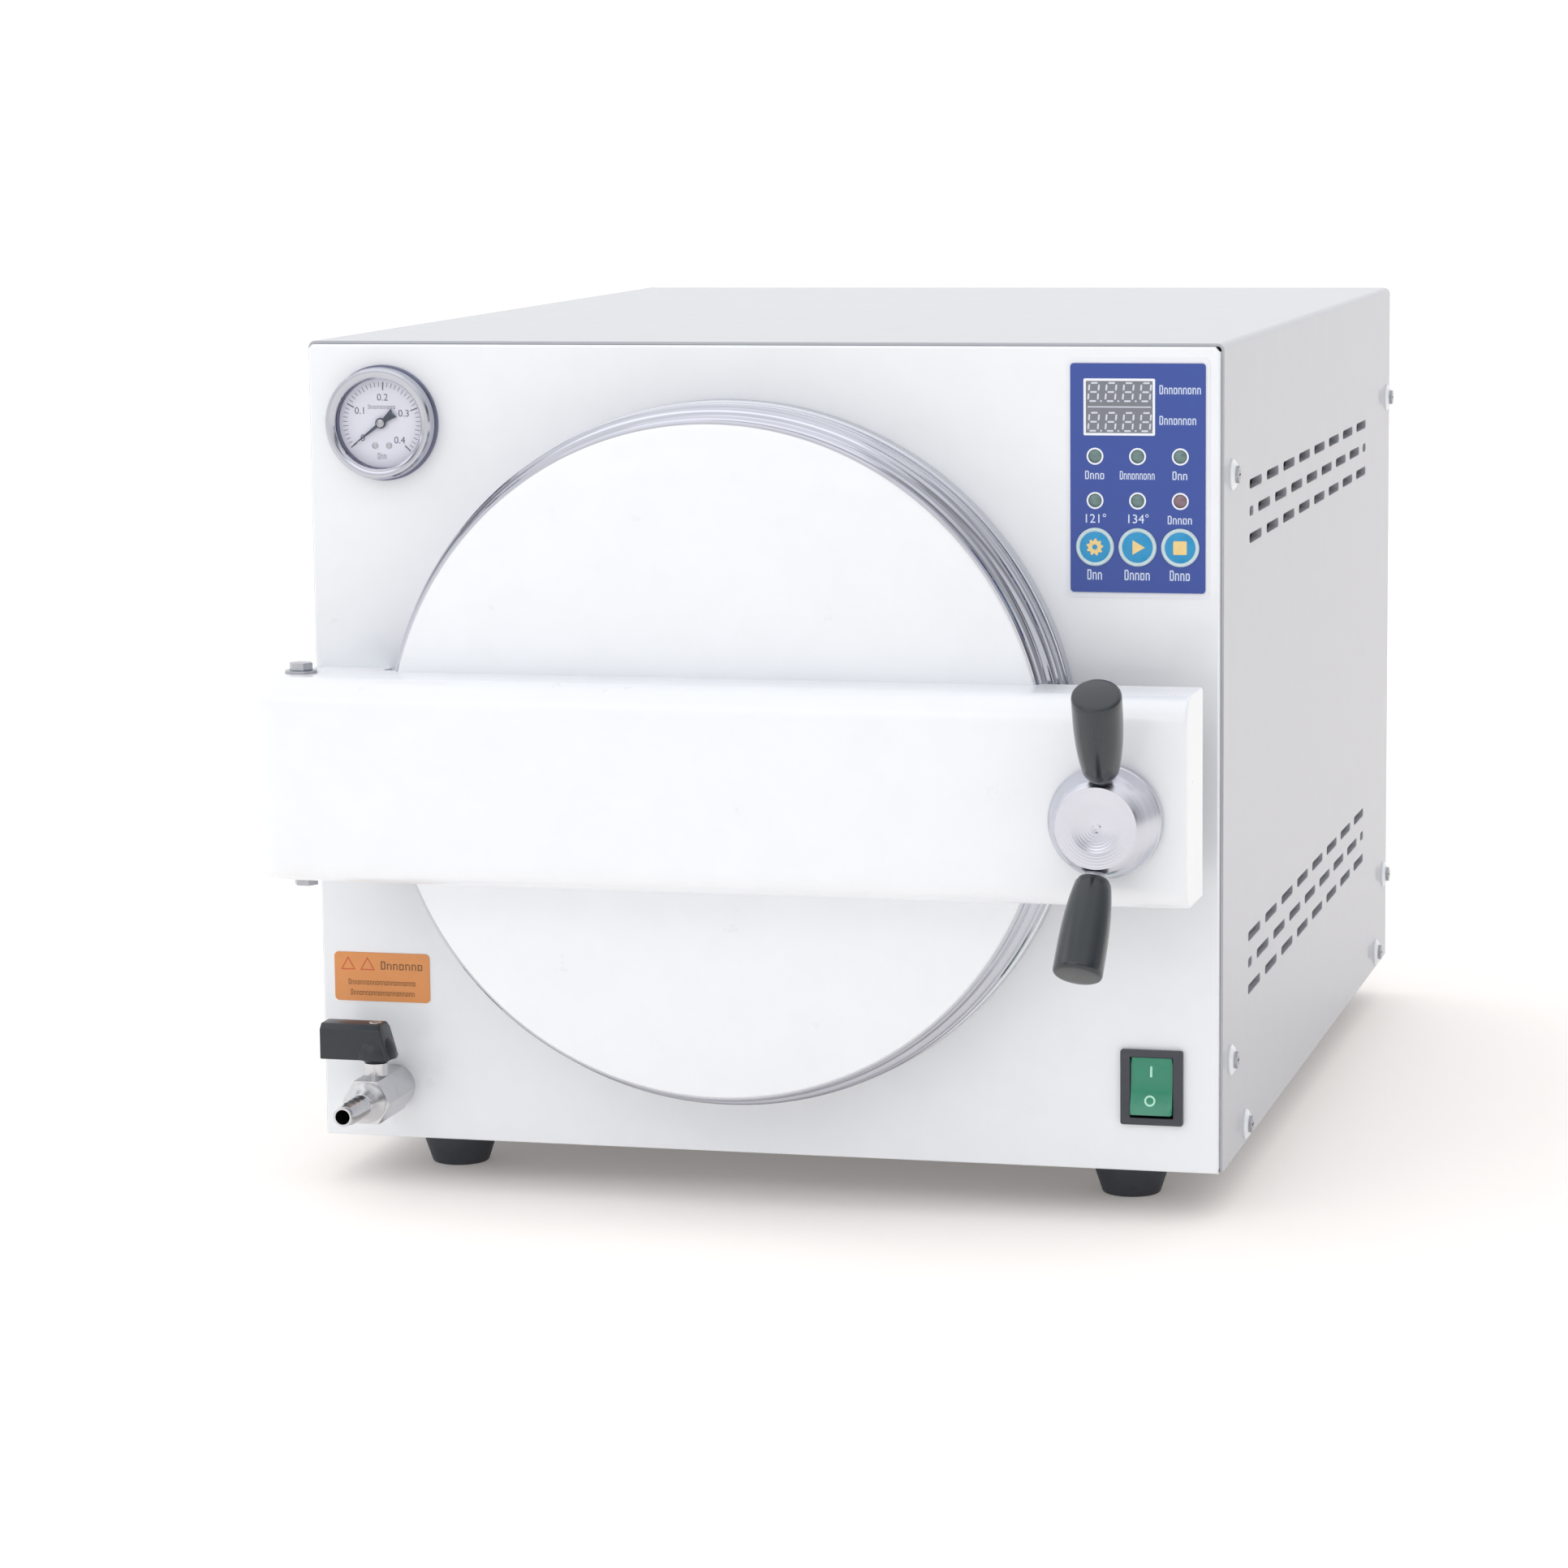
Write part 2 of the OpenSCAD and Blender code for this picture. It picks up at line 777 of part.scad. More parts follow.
module indicator_leds() {
    placed() color("darkseagreen") for (ix = [-1 : 1], row = lamp_rows) {
        turned(keypad_x + ix * lamp_pitch, keypad_z + row) polygon([
            [0, -1.9], [1.4, -1.7], [2.3, -1.3], [lamp_r, -0.6], [lamp_r, 6],
            [0.8, 6], [0.8, board_y], [0, board_y]
        ]);
    }
}

module key(ix) {
    placed() color("deepskyblue") turned(keypad_x + ix * lamp_pitch, keypad_z + key_row) polygon([
        [0, -1.8], [key_r - 0.6, -1.8], [key_r, -1.2], [key_r, 1.4], [3, 1.4], [3, key_back], [0, key_back]
    ]);
}

module key_set() {
    key(-1);
}

module key_start() {
    key(0);
}

module key_stop() {
    key(1);
}

module control_board() {
    placed() color("seagreen") difference() {
        translate([keypad_x, 0, keypad_z]) {
            translate([-board_w / 2, board_y, -board_h / 2]) cube([board_w, 1.6, board_h]);
            for (ix = [-1 : 1]) translate([ix * lamp_pitch - 3, board_y - 3.5, key_row - 3]) cube([6, 4, 6]);
            translate([-board_w / 2 + 4, board_y + 1.5, -38]) cube([16, 14, 24]);
            translate([-4, board_y + 1.5, -34]) cube([20, 9, 14]);
            translate([-18, board_y + 1.5, 6]) cube([30, 4, 12]);
            translate([-24, board_y + 1.5, 36]) cube([48, 8, 6]);
        }
        at_board_corners() rod_y(0, 0, stud_r + run, board_y - cut, board_y + 1.6 + cut);
    }
}

// ---- mains switch and label ----

module switch_housing() {
    placed() color("black") difference() {
        union() {
            facing(-2.2, 2.2) translate([switch_x, switch_z]) rounded(switch_w, switch_h, 1);
            facing(0, 24) translate([switch_x, switch_z])
                square([switch_w - 4.4, switch_h - 4], center = true);
            for (z = [-8, 0, 8]) translate([switch_x - 3, 23, switch_z + z - 0.5]) cube([6, 9, 1]);
        }
        translate([switch_x - rocker_w / 2 - 0.3, -2.2 - cut, switch_z - rocker_half - 0.9])
            cube([rocker_w + 0.6, 13 + cut, 2 * rocker_half + 1.8]);
        translate([switch_x - rocker_w / 2 - pin_reach - 0.1, rocker_pivot, switch_z]) rotate([0, 90, 0])
            cylinder(r = rocker_pin + run, h = rocker_w + 2 * pin_reach + 0.2, $fn = 32);
    }
}

module rocker_paddle() {
    rise = rocker_half * tan(rocker_tilt);
    placed() color("mediumseagreen") translate([switch_x, rocker_pivot, switch_z]) {
        rotate([-rocker_tilt, 0, 0]) {
            sideways(-rocker_w / 2, rocker_w) polygon([
                [-3.5, 0], [-3.5 - rise, rocker_half], [-1, rocker_half], [3, 5], [3, -5],
                [-1, -rocker_half], [-3.5 - rise, -rocker_half]
            ]);
            translate([-rocker_w / 2 - pin_reach, 0, 0]) rotate([0, 90, 0])
                cylinder(r = rocker_pin, h = rocker_w + 2 * pin_reach, $fn = 32);
        }
    }
}

module label_plate() {
    placed() color("sandybrown") facing(-0.4, 0.4) translate([label_x, label_z])
        rounded(label_w, label_h, 2);
}

// ---- drain valve ----

module drain_valve_body() {
    placed() color("silver") difference() {
        union() {
            hex_y(valve_x, valve_z, hex_r, -valve_l, -4);
            rod_y(valve_x, valve_z, 9.2, -4, 0);
            rod_y(valve_x, valve_z, 6.4, 0, 16);
            translate([valve_x, stem_y, valve_z]) cylinder(r = 5, h = lever_z - valve_z - 1.9);
        }
        rod_y(valve_x, valve_z, 4.2, -valve_l - cut, -valve_l + 10);
        rod_y(valve_x, valve_z, 3, -valve_l, 16 + cut);
        translate([valve_x, stem_y, valve_z]) cylinder(r = stem_r + run, h = lever_z - valve_z);
    }
}

module hose_barb() {
    base = -valve_l;
    placed() color("silver") turned(valve_x, valve_z) polygon(concat(
        [[barb_bore, base + 9], [barb_root, base + 9], [barb_root, base], [barb_shoulder, base]],
        [[barb_shoulder - 0.6, base - 1.5], [barb_ridge + 0.4, base - 6]],
        [for (y = [base - 7 : -5 : base - 22])
            each [[barb_root, y], [barb_ridge, y - 1], [barb_root, y - 5]]],
        [[barb_root - 0.2, base - barb_l], [barb_bore, base - barb_l]]
    ));
}

module drain_stem() {
    placed() color("silver") {
        translate([valve_x, stem_y, valve_z + 3.4]) cylinder(r = stem_r, h = lever_z - valve_z + 6);
    }
}

module drain_lever() {
    tip = -valve_lever_l + lever_tail;
    placed() color("black") translate([valve_x, stem_y, lever_z]) difference() {
        union() {
            sideways(tip, valve_lever_l) polygon([
                [-lever_half, 0], [lever_half, 0], [lever_half, lever_h - 3], [lever_half - 3, lever_h],
                [-lever_half + 3, lever_h], [-lever_half, lever_h - 3]
            ]);
            translate([0, 0, -1.6]) cylinder(r = 6, h = 3);
        }
        translate([lever_tail - 3, -10, lever_h - 2]) rotate([0, 38, 0]) translate([0, 0, -12])
            cube([12, 20, 30]);
        translate([0, 0, -2]) cylinder(r = stem_r + 0.02, h = 13);
        translate([0, 0, lever_h - 3.5]) cylinder(r = 3.2, h = 5);
    }
}

module drain_pipe() {
    placed() color("peru") pipe([
        [valve_x, 16, valve_z], [valve_x, drain_port_y, valve_z], [chamber_x, drain_port_y, valve_z],
        [chamber_x, drain_port_y, chamber_z - chamber_r - vessel_wall - drain_port_l]
    ], port_r - 0.5);
}

// ---- hinge and latch ----

// Places its children at the top and, mirrored, at the bottom of the bar
module both_ends() {
    translate([hinge_x, hinge_y, bar_z]) children();
    translate([hinge_x, hinge_y, bar_z]) mirror([0, 0, 1]) children();
}

module hinge_bracket() {
    reach = -hinge_y - bracket_t;
    placed() color("white") {
        facing(-bracket_t, bracket_t)
            translate([hinge_x + 7, bar_z]) square([34, 2 * lug_top], center = true);
        both_ends() translate([0, 0, lug_top - lug_t]) linear_extrude(lug_t) difference() {
            union() {
                circle(lug_r);
                link([0, 0], lug_elbow, 2 * lug_r);
                translate(lug_elbow) circle(lug_r);
                link(lug_elbow, [lug_elbow[0], reach], 2 * lug_r);
                translate([-bracket_left, -hinge_y - bracket_depth])
                    square([lug_elbow[0] + bracket_left, bracket_depth - bracket_t + 1]);
            }
            circle(hinge_r + 0.05);
        }
        translate([hinge_x + lug_elbow[0] - 4, hinge_y + web_start, bar_z - lug_top])
            cube([8, reach - web_start, 2 * lug_top]);
    }
}

module hinge_bolts() {
    head = bar_h / 2 + gap + outer_washer_t;
    placed() color("silver") both_ends() {
        translate([0, 0, lug_top - lug_t]) cylinder(r = hinge_r, h = head - lug_top + lug_t);
        translate([0, 0, head]) cylinder(r = hinge_head_r, h = hinge_head_h, $fn = 6);
    }
}

module hinge_washers() {
    inner = [lug_top, inner_washer_t];
    outer = [bar_h / 2 + gap, outer_washer_t];
    placed() color("silver") both_ends() for (z = [inner, outer]) {
        translate([0, 0, z[0]]) difference() {
            cylinder(r = hinge_washer_r, h = z[1]);
            translate([0, 0, -cut]) cylinder(r = hinge_r + 0.05, h = 4);
        }
    }
}

module latch_keeper() {
    placed() color("dimgray") facing(sheet, keeper_t) difference() {
        translate([knob_x + 2, knob_z]) rounded(46, 64, 4);
        latch_slot(0);
    }
}

// ---- rear fittings ----

module power_inlet() {
    face = case_d + 2;
    placed() color("black") {
        difference() {
            union() {
                facing(case_d, 2) translate([inlet_x, inlet_z]) rounded(inlet_plate[0], inlet_plate[1], 3);
                facing(case_d - 20, 20) translate([inlet_x, inlet_z]) rounded(inlet_w + 3, inlet_h + 3, 3);
            }
            facing(face - inlet_deep, inlet_deep + cut)
                translate([inlet_x, inlet_z]) rounded(inlet_w, inlet_h, 2.5);
            for (s = [-1, 1]) rod_y(inlet_x + s * inlet_screw_x, inlet_z, 1.7, case_d - cut, face + cut);
        }
        for (pin = inlet_pins) {
            translate([inlet_x + pin[0] - 1, face - inlet_deep - 1, inlet_z + pin[1] - 2]) cube([2, 14, 4]);
        }
    }
}

module fuse_holders() {
    placed() color("black") for (x = fuse_x) difference() {
        union() {
            rod_y(x, fuse_z, fuse_r, case_d - 26, case_d);
            rod_y(x, fuse_z, fuse_ring_r, case_d, case_d + fuse_ring_t);
            rod_y(x, fuse_z, fuse_cap_r, case_d + fuse_ring_t, case_d + fuse_ring_t + fuse_cap_l);
        }
        translate([x - 5, case_d + fuse_ring_t + fuse_cap_l - 1.4, fuse_z - 0.7]) cube([10, 3, 1.4]);
    }
}

module exhaust_outlet() {
    nut_end = case_d + outlet_nut_l;
    placed() color("silver") difference() {
        union() {
            hex_y(outlet_x, outlet_z, outlet_nut_r, case_d, nut_end);
            rod_y(outlet_x, outlet_z, outlet_r, nut_end, nut_end + outlet_l);
            rod_y(outlet_x, outlet_z, outlet_neck_r, case_d - outlet_in, case_d);
        }
        rod_y(outlet_x, outlet_z, port_bore, case_d - outlet_in - cut, nut_end + outlet_l + cut);
    }
}

module solenoid_valve() {
    body = solenoid_body;
    coil = solenoid_coil;
    coil_low = body[2] / 2 + solenoid_neck;
    placed() color("goldenrod") translate([outlet_x, solenoid_y, outlet_z]) {
        translate(-body / 2) cube(body);
        translate([0, 0, body[2] / 2]) cylinder(r = 7, h = solenoid_neck);
        translate([-coil[0] / 2, -coil[1] / 2, coil_low]) cube(coil);
        translate([0, 0, coil_low + coil[2]]) cylinder(r = 5, h = 4);
    }
}

module exhaust_pipe() {
    p = exhaust_port;
    y = vessel_back + 30;
    half = solenoid_body[1] / 2;
    placed() color("peru") {
        pipe([
            [p[0], vessel_back + 10, p[1]], [p[0], y, p[1]], [p[0], y, outlet_z], [outlet_x, y, outlet_z],
            [outlet_x, solenoid_y - half, outlet_z]
        ], port_r - 0.5);
        rod_y(outlet_x, outlet_z, port_r - 0.5, solenoid_y + half, case_d - outlet_in);
    }
}

module safety_valve() {
    x = safety_port[0];
    z = safety_port[1];
    placed() color("goldenrod") difference() {
        union() {
            rod_y(x, z, port_r, vessel_back + 10, case_d - 6);
            rod_y(x, z, 6.4, case_d - 6, case_d);
            hex_y(x, z, 11, case_d, case_d + 8);
            rod_y(x, z, 8.5, case_d + 8, case_d + 22);
        }
        rod_y(x, z, port_bore, vessel_back + 9, case_d);
        rod_y(x, z, 1.5 + run, case_d + 4, case_d + 23);
    }
}

module safety_ring() {
    x = safety_port[0];
    z = safety_port[1];
    placed() color("silver") {
        rod_y(x, z, 1.5, case_d + 9, case_d + safety_l - pull_ring_r + 1);
        translate([x, case_d + safety_l, z]) rotate([0, 90, 0]) rotate_extrude()
            translate([pull_ring_r, 0]) circle(pull_wire_r, $fn = 24);
    }
}

// ---- door ----

// Solid outline of the bar's section, drawn as [distance forward of the hinge line, z]
module bar_outline(back, inset) {
    front = bar_end_r - inset;
    half = bar_h / 2 - inset;
    r = bar_edge_r - inset;
    translate([back, -half]) square([front - r - back, 2 * half]);
    translate([back, -half + r]) square([front - back, 2 * (half - r)]);
    for (s = [-1, 1]) translate([front - r, s * (half - r)]) circle(r);
}

// The same section as a wall, to be turned round the hinge line for the rounded end
module end_wall() {
    difference() {
        bar_outline(0, 0);
        bar_outline(-cut, bar_sheet);
    }
}

// Extrudes a bar section to the right from x, over length l
module bar_run(x, l) {
    translate([x, hinge_y, bar_z]) mirror([0, 1, 0]) rotate([90, 0, 90]) linear_extrude(l) children();
}

module door_bar() {
    l = bar_right - hinge_x;
    placed() color("white") difference() {
        union() {
            bar_run(hinge_x, l) difference() {
                bar_outline(-bar_back, 0);
                bar_outline(-bar_back - cut, bar_sheet);
            }
            translate([hinge_x, hinge_y, bar_z]) rotate([0, 0, 180]) rotate_extrude(angle = 90) end_wall();
            both_ends() translate([0, 0, bar_h / 2 - bar_sheet]) cylinder(r = eye_r, h = bar_sheet);
            bar_run(bar_right - bar_sheet, bar_sheet) bar_outline(-bar_back, 0);
        }
        translate([hinge_x, hinge_y, bar_z - bar_h / 2 - cut])
            cylinder(r = hinge_r + run, h = bar_h + 2 * cut);
        rod_y(knob_x, knob_z, spindle_r + 0.5, -bar_front - cut, -bar_front + 6);
    }
}

module bar_core() {
    front = bar_front - bar_sheet;
    placed() color("dimgray") difference() {
        translate([core_left, -front, bar_z - core_half])
            cube([bar_right - 8 - core_left, front - core_back, 2 * core_half]);
        rod_y(knob_x, knob_z, spindle_r + run, -front - cut, -core_back + cut);
        rod_y(chamber_x, chamber_z, pivot_r + 0.02, -core_back - 7, -core_back + cut);
    }
}

module pivot_bolt() {
    placed() color("silver") {
        rod_y(chamber_x, chamber_z, pivot_r, -core_back - 7, -plate_front);
        ring_y(chamber_x, chamber_z, pivot_r - 0.5, spacer_r, -core_back, -cover_front - gap);
    }
}

module door_plate() {
    placed() color("silver") turned(chamber_x, chamber_z) polygon([
        [0, -plate_front], [rim_r - 3, -plate_front], [rim_r - 1.2, -plate_front + 0.8],
        [rim_r - 1.2, -19], [rim_r, -18], [rim_r, -10.5], [rim_r - 1, -9.5],
        [spigot_r, -9.5], [spigot_r, -14], [chamber_r + 2, -14], [chamber_r + 2, -9.5],
        [chamber_r - 2, -9.5], [chamber_r - 6, -16], [0, -16]
    ]);
}

module door_trim_ring() {
    placed() color("silver") turned(chamber_x, chamber_z) polygon([
        [cover_r - 3, -cover_front + 1.5], [cover_r + 1, -cover_front + 1.5],
        [cover_r + 1.6, -cover_front + 2.5], [cover_r + 1.6, -cover_front + 6],
        [cover_r + 3, -cover_front + 8], [cover_r + 3, -plate_front], [cover_r - 3, -plate_front]
    ]);
}

module door_cover() {
    placed() color("white") turned(chamber_x, chamber_z) polygon([
        [pivot_r + 0.3, -cover_front], [cover_r - 0.8, -cover_front], [cover_r, -cover_front + 0.8],
        [cover_r, -cover_front + 1.5], [cover_r - 3.2, -cover_front + 1.5],
        [cover_r - 3.2, -cover_front + 8], [cover_r - 4.7, -cover_front + 8],
        [cover_r - 4.7, -cover_front + 1.5], [pivot_r + 0.3, -cover_front + 1.5]
    ]);
}

module door_gasket() {
    placed() color("tomato") turned(chamber_x, chamber_z) polygon([
        [chamber_r + 2.5, -14], [spigot_r - 0.5, -14], [spigot_r - 0.5, -9.6], [spigot_r - 4, -8.1],
        [chamber_r + 6, -8.1], [chamber_r + 2.5, -9.6]
    ]);
}

// ---- closing knob ----

module clamp_spindle() {
    placed() color("silver") {
        rod_y(knob_x, knob_z, spindle_r, knob_front + 8, head_back);
        rod_y(knob_x, knob_z, collar_r, -core_back + 0.1, -core_back + 5);
        translate([knob_x - head_half, head_front, knob_z - head_h])
            cube([2 * head_half, head_back - head_front, 2 * head_h]);
    }
}

// Places its children at the two levers, with Z along each rod
module at_levers() {
    for (s = [0, 180]) {
        translate([knob_x, lever_y, knob_z]) rotate([0, lever_turn + s, 0]) rotate([lever_lean, 0, 0])
            children();
    }
}

module knob_hub() {
    placed() color("silver") difference() {
        turned(knob_x, knob_z) polygon([
            [spindle_r + 0.02, knob_back], [knob_r - 0.8, knob_back], [knob_r, knob_back - 0.8],
            [knob_r, knob_back - 6], [knob_r - 1.2, knob_back - 7.2], [knob_front_r + 2, knob_front + 4],
            [knob_front_r, knob_front + 0.6], [knob_front_r - 0.6, knob_front], [11, knob_front],
            [5, knob_front + 1.2], [1.2, knob_front + 1.6], [0, knob_front + 1.3],
            [0, knob_front + 8], [spindle_r + 0.02, knob_front + 8]
        ]);
        at_levers() translate([0, 0, rod_start]) cylinder(r = rod_r + 0.02, h = 40);
    }
}

module lever_rods() {
    placed() color("silver") at_levers() translate([0, 0, rod_start])
        cylinder(r = rod_r, h = rod_end - rod_start);
}

module lever_grips() {
    placed() color("black") at_levers() rotate_extrude() polygon([
        [rod_r + 0.02, grip_start], [grip_thin - 2, grip_start], [grip_thin - 0.5, grip_start + 1],
        [grip_thin, grip_start + 3], [grip_thick - 1.1, grip_start + grip_l * 0.33],
        [grip_thick - 0.3, grip_start + grip_l * 0.55], [grip_thick, grip_start + grip_l * 0.8],
        [grip_thick - 0.1, grip_start + grip_l - 3],
        [grip_thick - cap_in, grip_start + grip_l - cap_back], [grip_thick - 3, grip_start + grip_l],
        [0, grip_start + grip_l], [0, rod_end + 0.1], [rod_r + 0.02, rod_end + 0.1]
    ]);
}

base_pan();
case_cover();
front_panel();
rear_panel();
rubber_feet();
foot_screws();
side_screws();
cup_washers();
chamber_flange();
chamber_vessel();
chamber_saddles();
insulation_jacket();
heating_element();
element_cover();
tray_rack();
instrument_trays();
temperature_probe();
gauge_case();
gauge_bezel();
gauge_lens();
gauge_dial();
gauge_needle();
gauge_tube();
keypad_overlay();
display_module();
indicator_leds();
key_set();
key_start();
key_stop();
control_board();
switch_housing();
rocker_paddle();
label_plate();
drain_valve_body();
hose_barb();
drain_stem();
drain_lever();
drain_pipe();
hinge_bracket();
hinge_bolts();
hinge_washers();
latch_keeper();
power_inlet();
fuse_holders();
solenoid_valve();
exhaust_pipe();
exhaust_outlet();
safety_valve();
safety_ring();
door_bar();
bar_core();
pivot_bolt();
door_plate();
door_trim_ring();
door_cover();
door_gasket();
clamp_spindle();
knob_hub();
lever_rods();
lever_grips();
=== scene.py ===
import json
import math

import bmesh
import bpy
from mathutils import Matrix, Vector

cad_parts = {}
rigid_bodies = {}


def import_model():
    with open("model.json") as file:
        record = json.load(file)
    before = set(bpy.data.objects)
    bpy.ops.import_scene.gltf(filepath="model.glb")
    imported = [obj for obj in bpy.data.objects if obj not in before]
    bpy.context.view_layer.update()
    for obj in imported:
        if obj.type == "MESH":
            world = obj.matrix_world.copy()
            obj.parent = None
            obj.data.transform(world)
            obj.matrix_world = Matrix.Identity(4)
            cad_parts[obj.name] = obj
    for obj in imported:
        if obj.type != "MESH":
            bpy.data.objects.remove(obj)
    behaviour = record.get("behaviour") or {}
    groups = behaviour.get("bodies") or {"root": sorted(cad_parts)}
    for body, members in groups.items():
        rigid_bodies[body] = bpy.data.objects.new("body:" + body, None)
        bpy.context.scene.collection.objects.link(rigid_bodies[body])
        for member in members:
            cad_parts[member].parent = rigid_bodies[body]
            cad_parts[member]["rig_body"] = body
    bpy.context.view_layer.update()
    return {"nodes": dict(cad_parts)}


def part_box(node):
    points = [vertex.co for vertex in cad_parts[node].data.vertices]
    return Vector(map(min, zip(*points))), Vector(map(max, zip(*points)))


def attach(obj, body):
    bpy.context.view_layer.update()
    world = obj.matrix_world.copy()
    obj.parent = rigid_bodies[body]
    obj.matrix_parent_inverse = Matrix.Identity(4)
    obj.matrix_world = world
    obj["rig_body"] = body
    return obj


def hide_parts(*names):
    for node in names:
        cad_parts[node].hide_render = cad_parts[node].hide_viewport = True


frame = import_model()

MM = 0.001
NODES = frame["nodes"]


# ---- places ----

BOXES = {}


def box(node):
    """The node's two corners, worked out once."""
    if node not in BOXES:
        BOXES[node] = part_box(node)
    return BOXES[node][0].copy(), BOXES[node][1].copy()


def low(node):
    return box(node)[0]


def high(node):
    return box(node)[1]


def middle(node):
    return (low(node) + high(node)) / 2


def radius(node):
    return (high(node).x - low(node).x) / 2


CASE_X = middle("front_panel").x
FRONT_Y = low("front_panel").y


def at(x, y, z):
    """A point of the case: x from its centre line, y from the panel's face, z from the bench, in mm."""
    return Vector((CASE_X + x * MM, FRONT_Y + y * MM, z * MM))


def in_mm(points, x=0.0, y=0.0):
    """Points given in mm from the place (x, y), as points in metres."""
    return [(x + a * MM, y + b * MM) for a, b in points]


def linear(r, g, b):
    """A colour given in 0 to 255 as the renderer's linear values."""
    out = []
    for v in (r, g, b):
        c = v / 255
        out.append(c / 12.92 if c <= 0.04045 else ((c + 0.055) / 1.055) ** 2.4)
    return (*out, 1)


# ---- materials ----

M = {}


def add(tree, kind, **inputs):
    node = tree.nodes.new(kind)
    for name, value in inputs.items():
        node.inputs[name.replace("_", " ")].default_value = value
    return node


def shifted(colour, factor):
    return (*[min(1, c * factor) for c in colour[:3]], 1)


def surface(name, tone, rough=0.4, metal=0.0, coat=0.0, spread=0.05, scale=60,
            stretch=(1, 1, 1), bump=0.0, bump_scale=400, rough_spread=0.06, **more):
    """Adds a material to M: two close shades of a 0 to 255 tone, uneven gloss and fine relief."""
    colour = linear(*tone)
    made = bpy.data.materials.new(name)
    made.use_nodes = True
    tree = made.node_tree
    shader = tree.nodes["Principled BSDF"]
    where = tree.nodes.new("ShaderNodeTexCoord")
    mapping = add(tree, "ShaderNodeMapping", Scale=stretch)
    tree.links.new(where.outputs["Object"], mapping.inputs["Vector"])
    noise = add(tree, "ShaderNodeTexNoise", Scale=scale, Detail=4.0, Roughness=0.55)
    tree.links.new(mapping.outputs[0], noise.inputs["Vector"])
    tones = tree.nodes.new("ShaderNodeValToRGB")
    tones.color_ramp.elements[0].position = 0.3
    tones.color_ramp.elements[1].position = 0.7
    tones.color_ramp.elements[0].color = shifted(colour, 1 - spread)
    tones.color_ramp.elements[1].color = shifted(colour, 1 + spread)
    tree.links.new(noise.outputs["Fac"], tones.inputs["Fac"])
    tree.links.new(tones.outputs["Color"], shader.inputs["Base Color"])
    glossiest = max(0.02, rough - rough_spread)
    gloss = add(tree, "ShaderNodeMapRange", To_Min=glossiest, To_Max=rough + rough_spread)
    tree.links.new(noise.outputs["Fac"], gloss.inputs["Value"])
    tree.links.new(gloss.outputs["Result"], shader.inputs["Roughness"])
    if bump:
        fine = add(tree, "ShaderNodeTexNoise", Scale=bump_scale, Detail=3.0)
        tree.links.new(mapping.outputs[0], fine.inputs["Vector"])
        relief = add(tree, "ShaderNodeBump", Strength=bump, Distance=0.0004)
        tree.links.new(fine.outputs["Fac"], relief.inputs["Height"])
        tree.links.new(relief.outputs["Normal"], shader.inputs["Normal"])
    shader.inputs["Metallic"].default_value = metal
    shader.inputs["Coat Weight"].default_value = coat
    shader.inputs["Coat Roughness"].default_value = 0.06
    for key, value in more.items():
        shader.inputs[key.replace("_", " ")].default_value = value
    M[name] = made
    return made


def turned_metal(name, tone, centre, rough=0.22, rings=5200):
    """Metal turned on a lathe: fine rings round an axis along Y through centre."""
    made = surface(name, tone, rough, 1.0, spread=0.03, scale=30)
    tree = made.node_tree
    shader = tree.nodes["Principled BSDF"]
    where = tree.nodes.new("ShaderNodeTexCoord")
    shift = add(tree, "ShaderNodeMapping", Location=(-centre.x, 0, -centre.z), Scale=(1, 0, 1))
    tree.links.new(where.outputs["Object"], shift.inputs["Vector"])
    distance = tree.nodes.new("ShaderNodeVectorMath")
    distance.operation = "LENGTH"
    tree.links.new(shift.outputs[0], distance.inputs[0])
    wave = tree.nodes.new("ShaderNodeMath")
    wave.operation = "MULTIPLY"
    wave.inputs[1].default_value = rings
    tree.links.new(distance.outputs["Value"], wave.inputs[0])
    sine = tree.nodes.new("ShaderNodeMath")
    sine.operation = "SINE"
    tree.links.new(wave.outputs[0], sine.inputs[0])
    relief = add(tree, "ShaderNodeBump", Strength=0.25, Distance=0.00006)
    tree.links.new(sine.outputs[0], relief.inputs["Height"])
    tree.links.new(relief.outputs["Normal"], shader.inputs["Normal"])
    tangent = tree.nodes.new("ShaderNodeTangent")
    tangent.direction_type = "RADIAL"
    tangent.axis = "Y"
    tree.links.new(tangent.outputs[0], shader.inputs["Tangent"])
    shader.inputs["Anisotropic"].default_value = 0.75


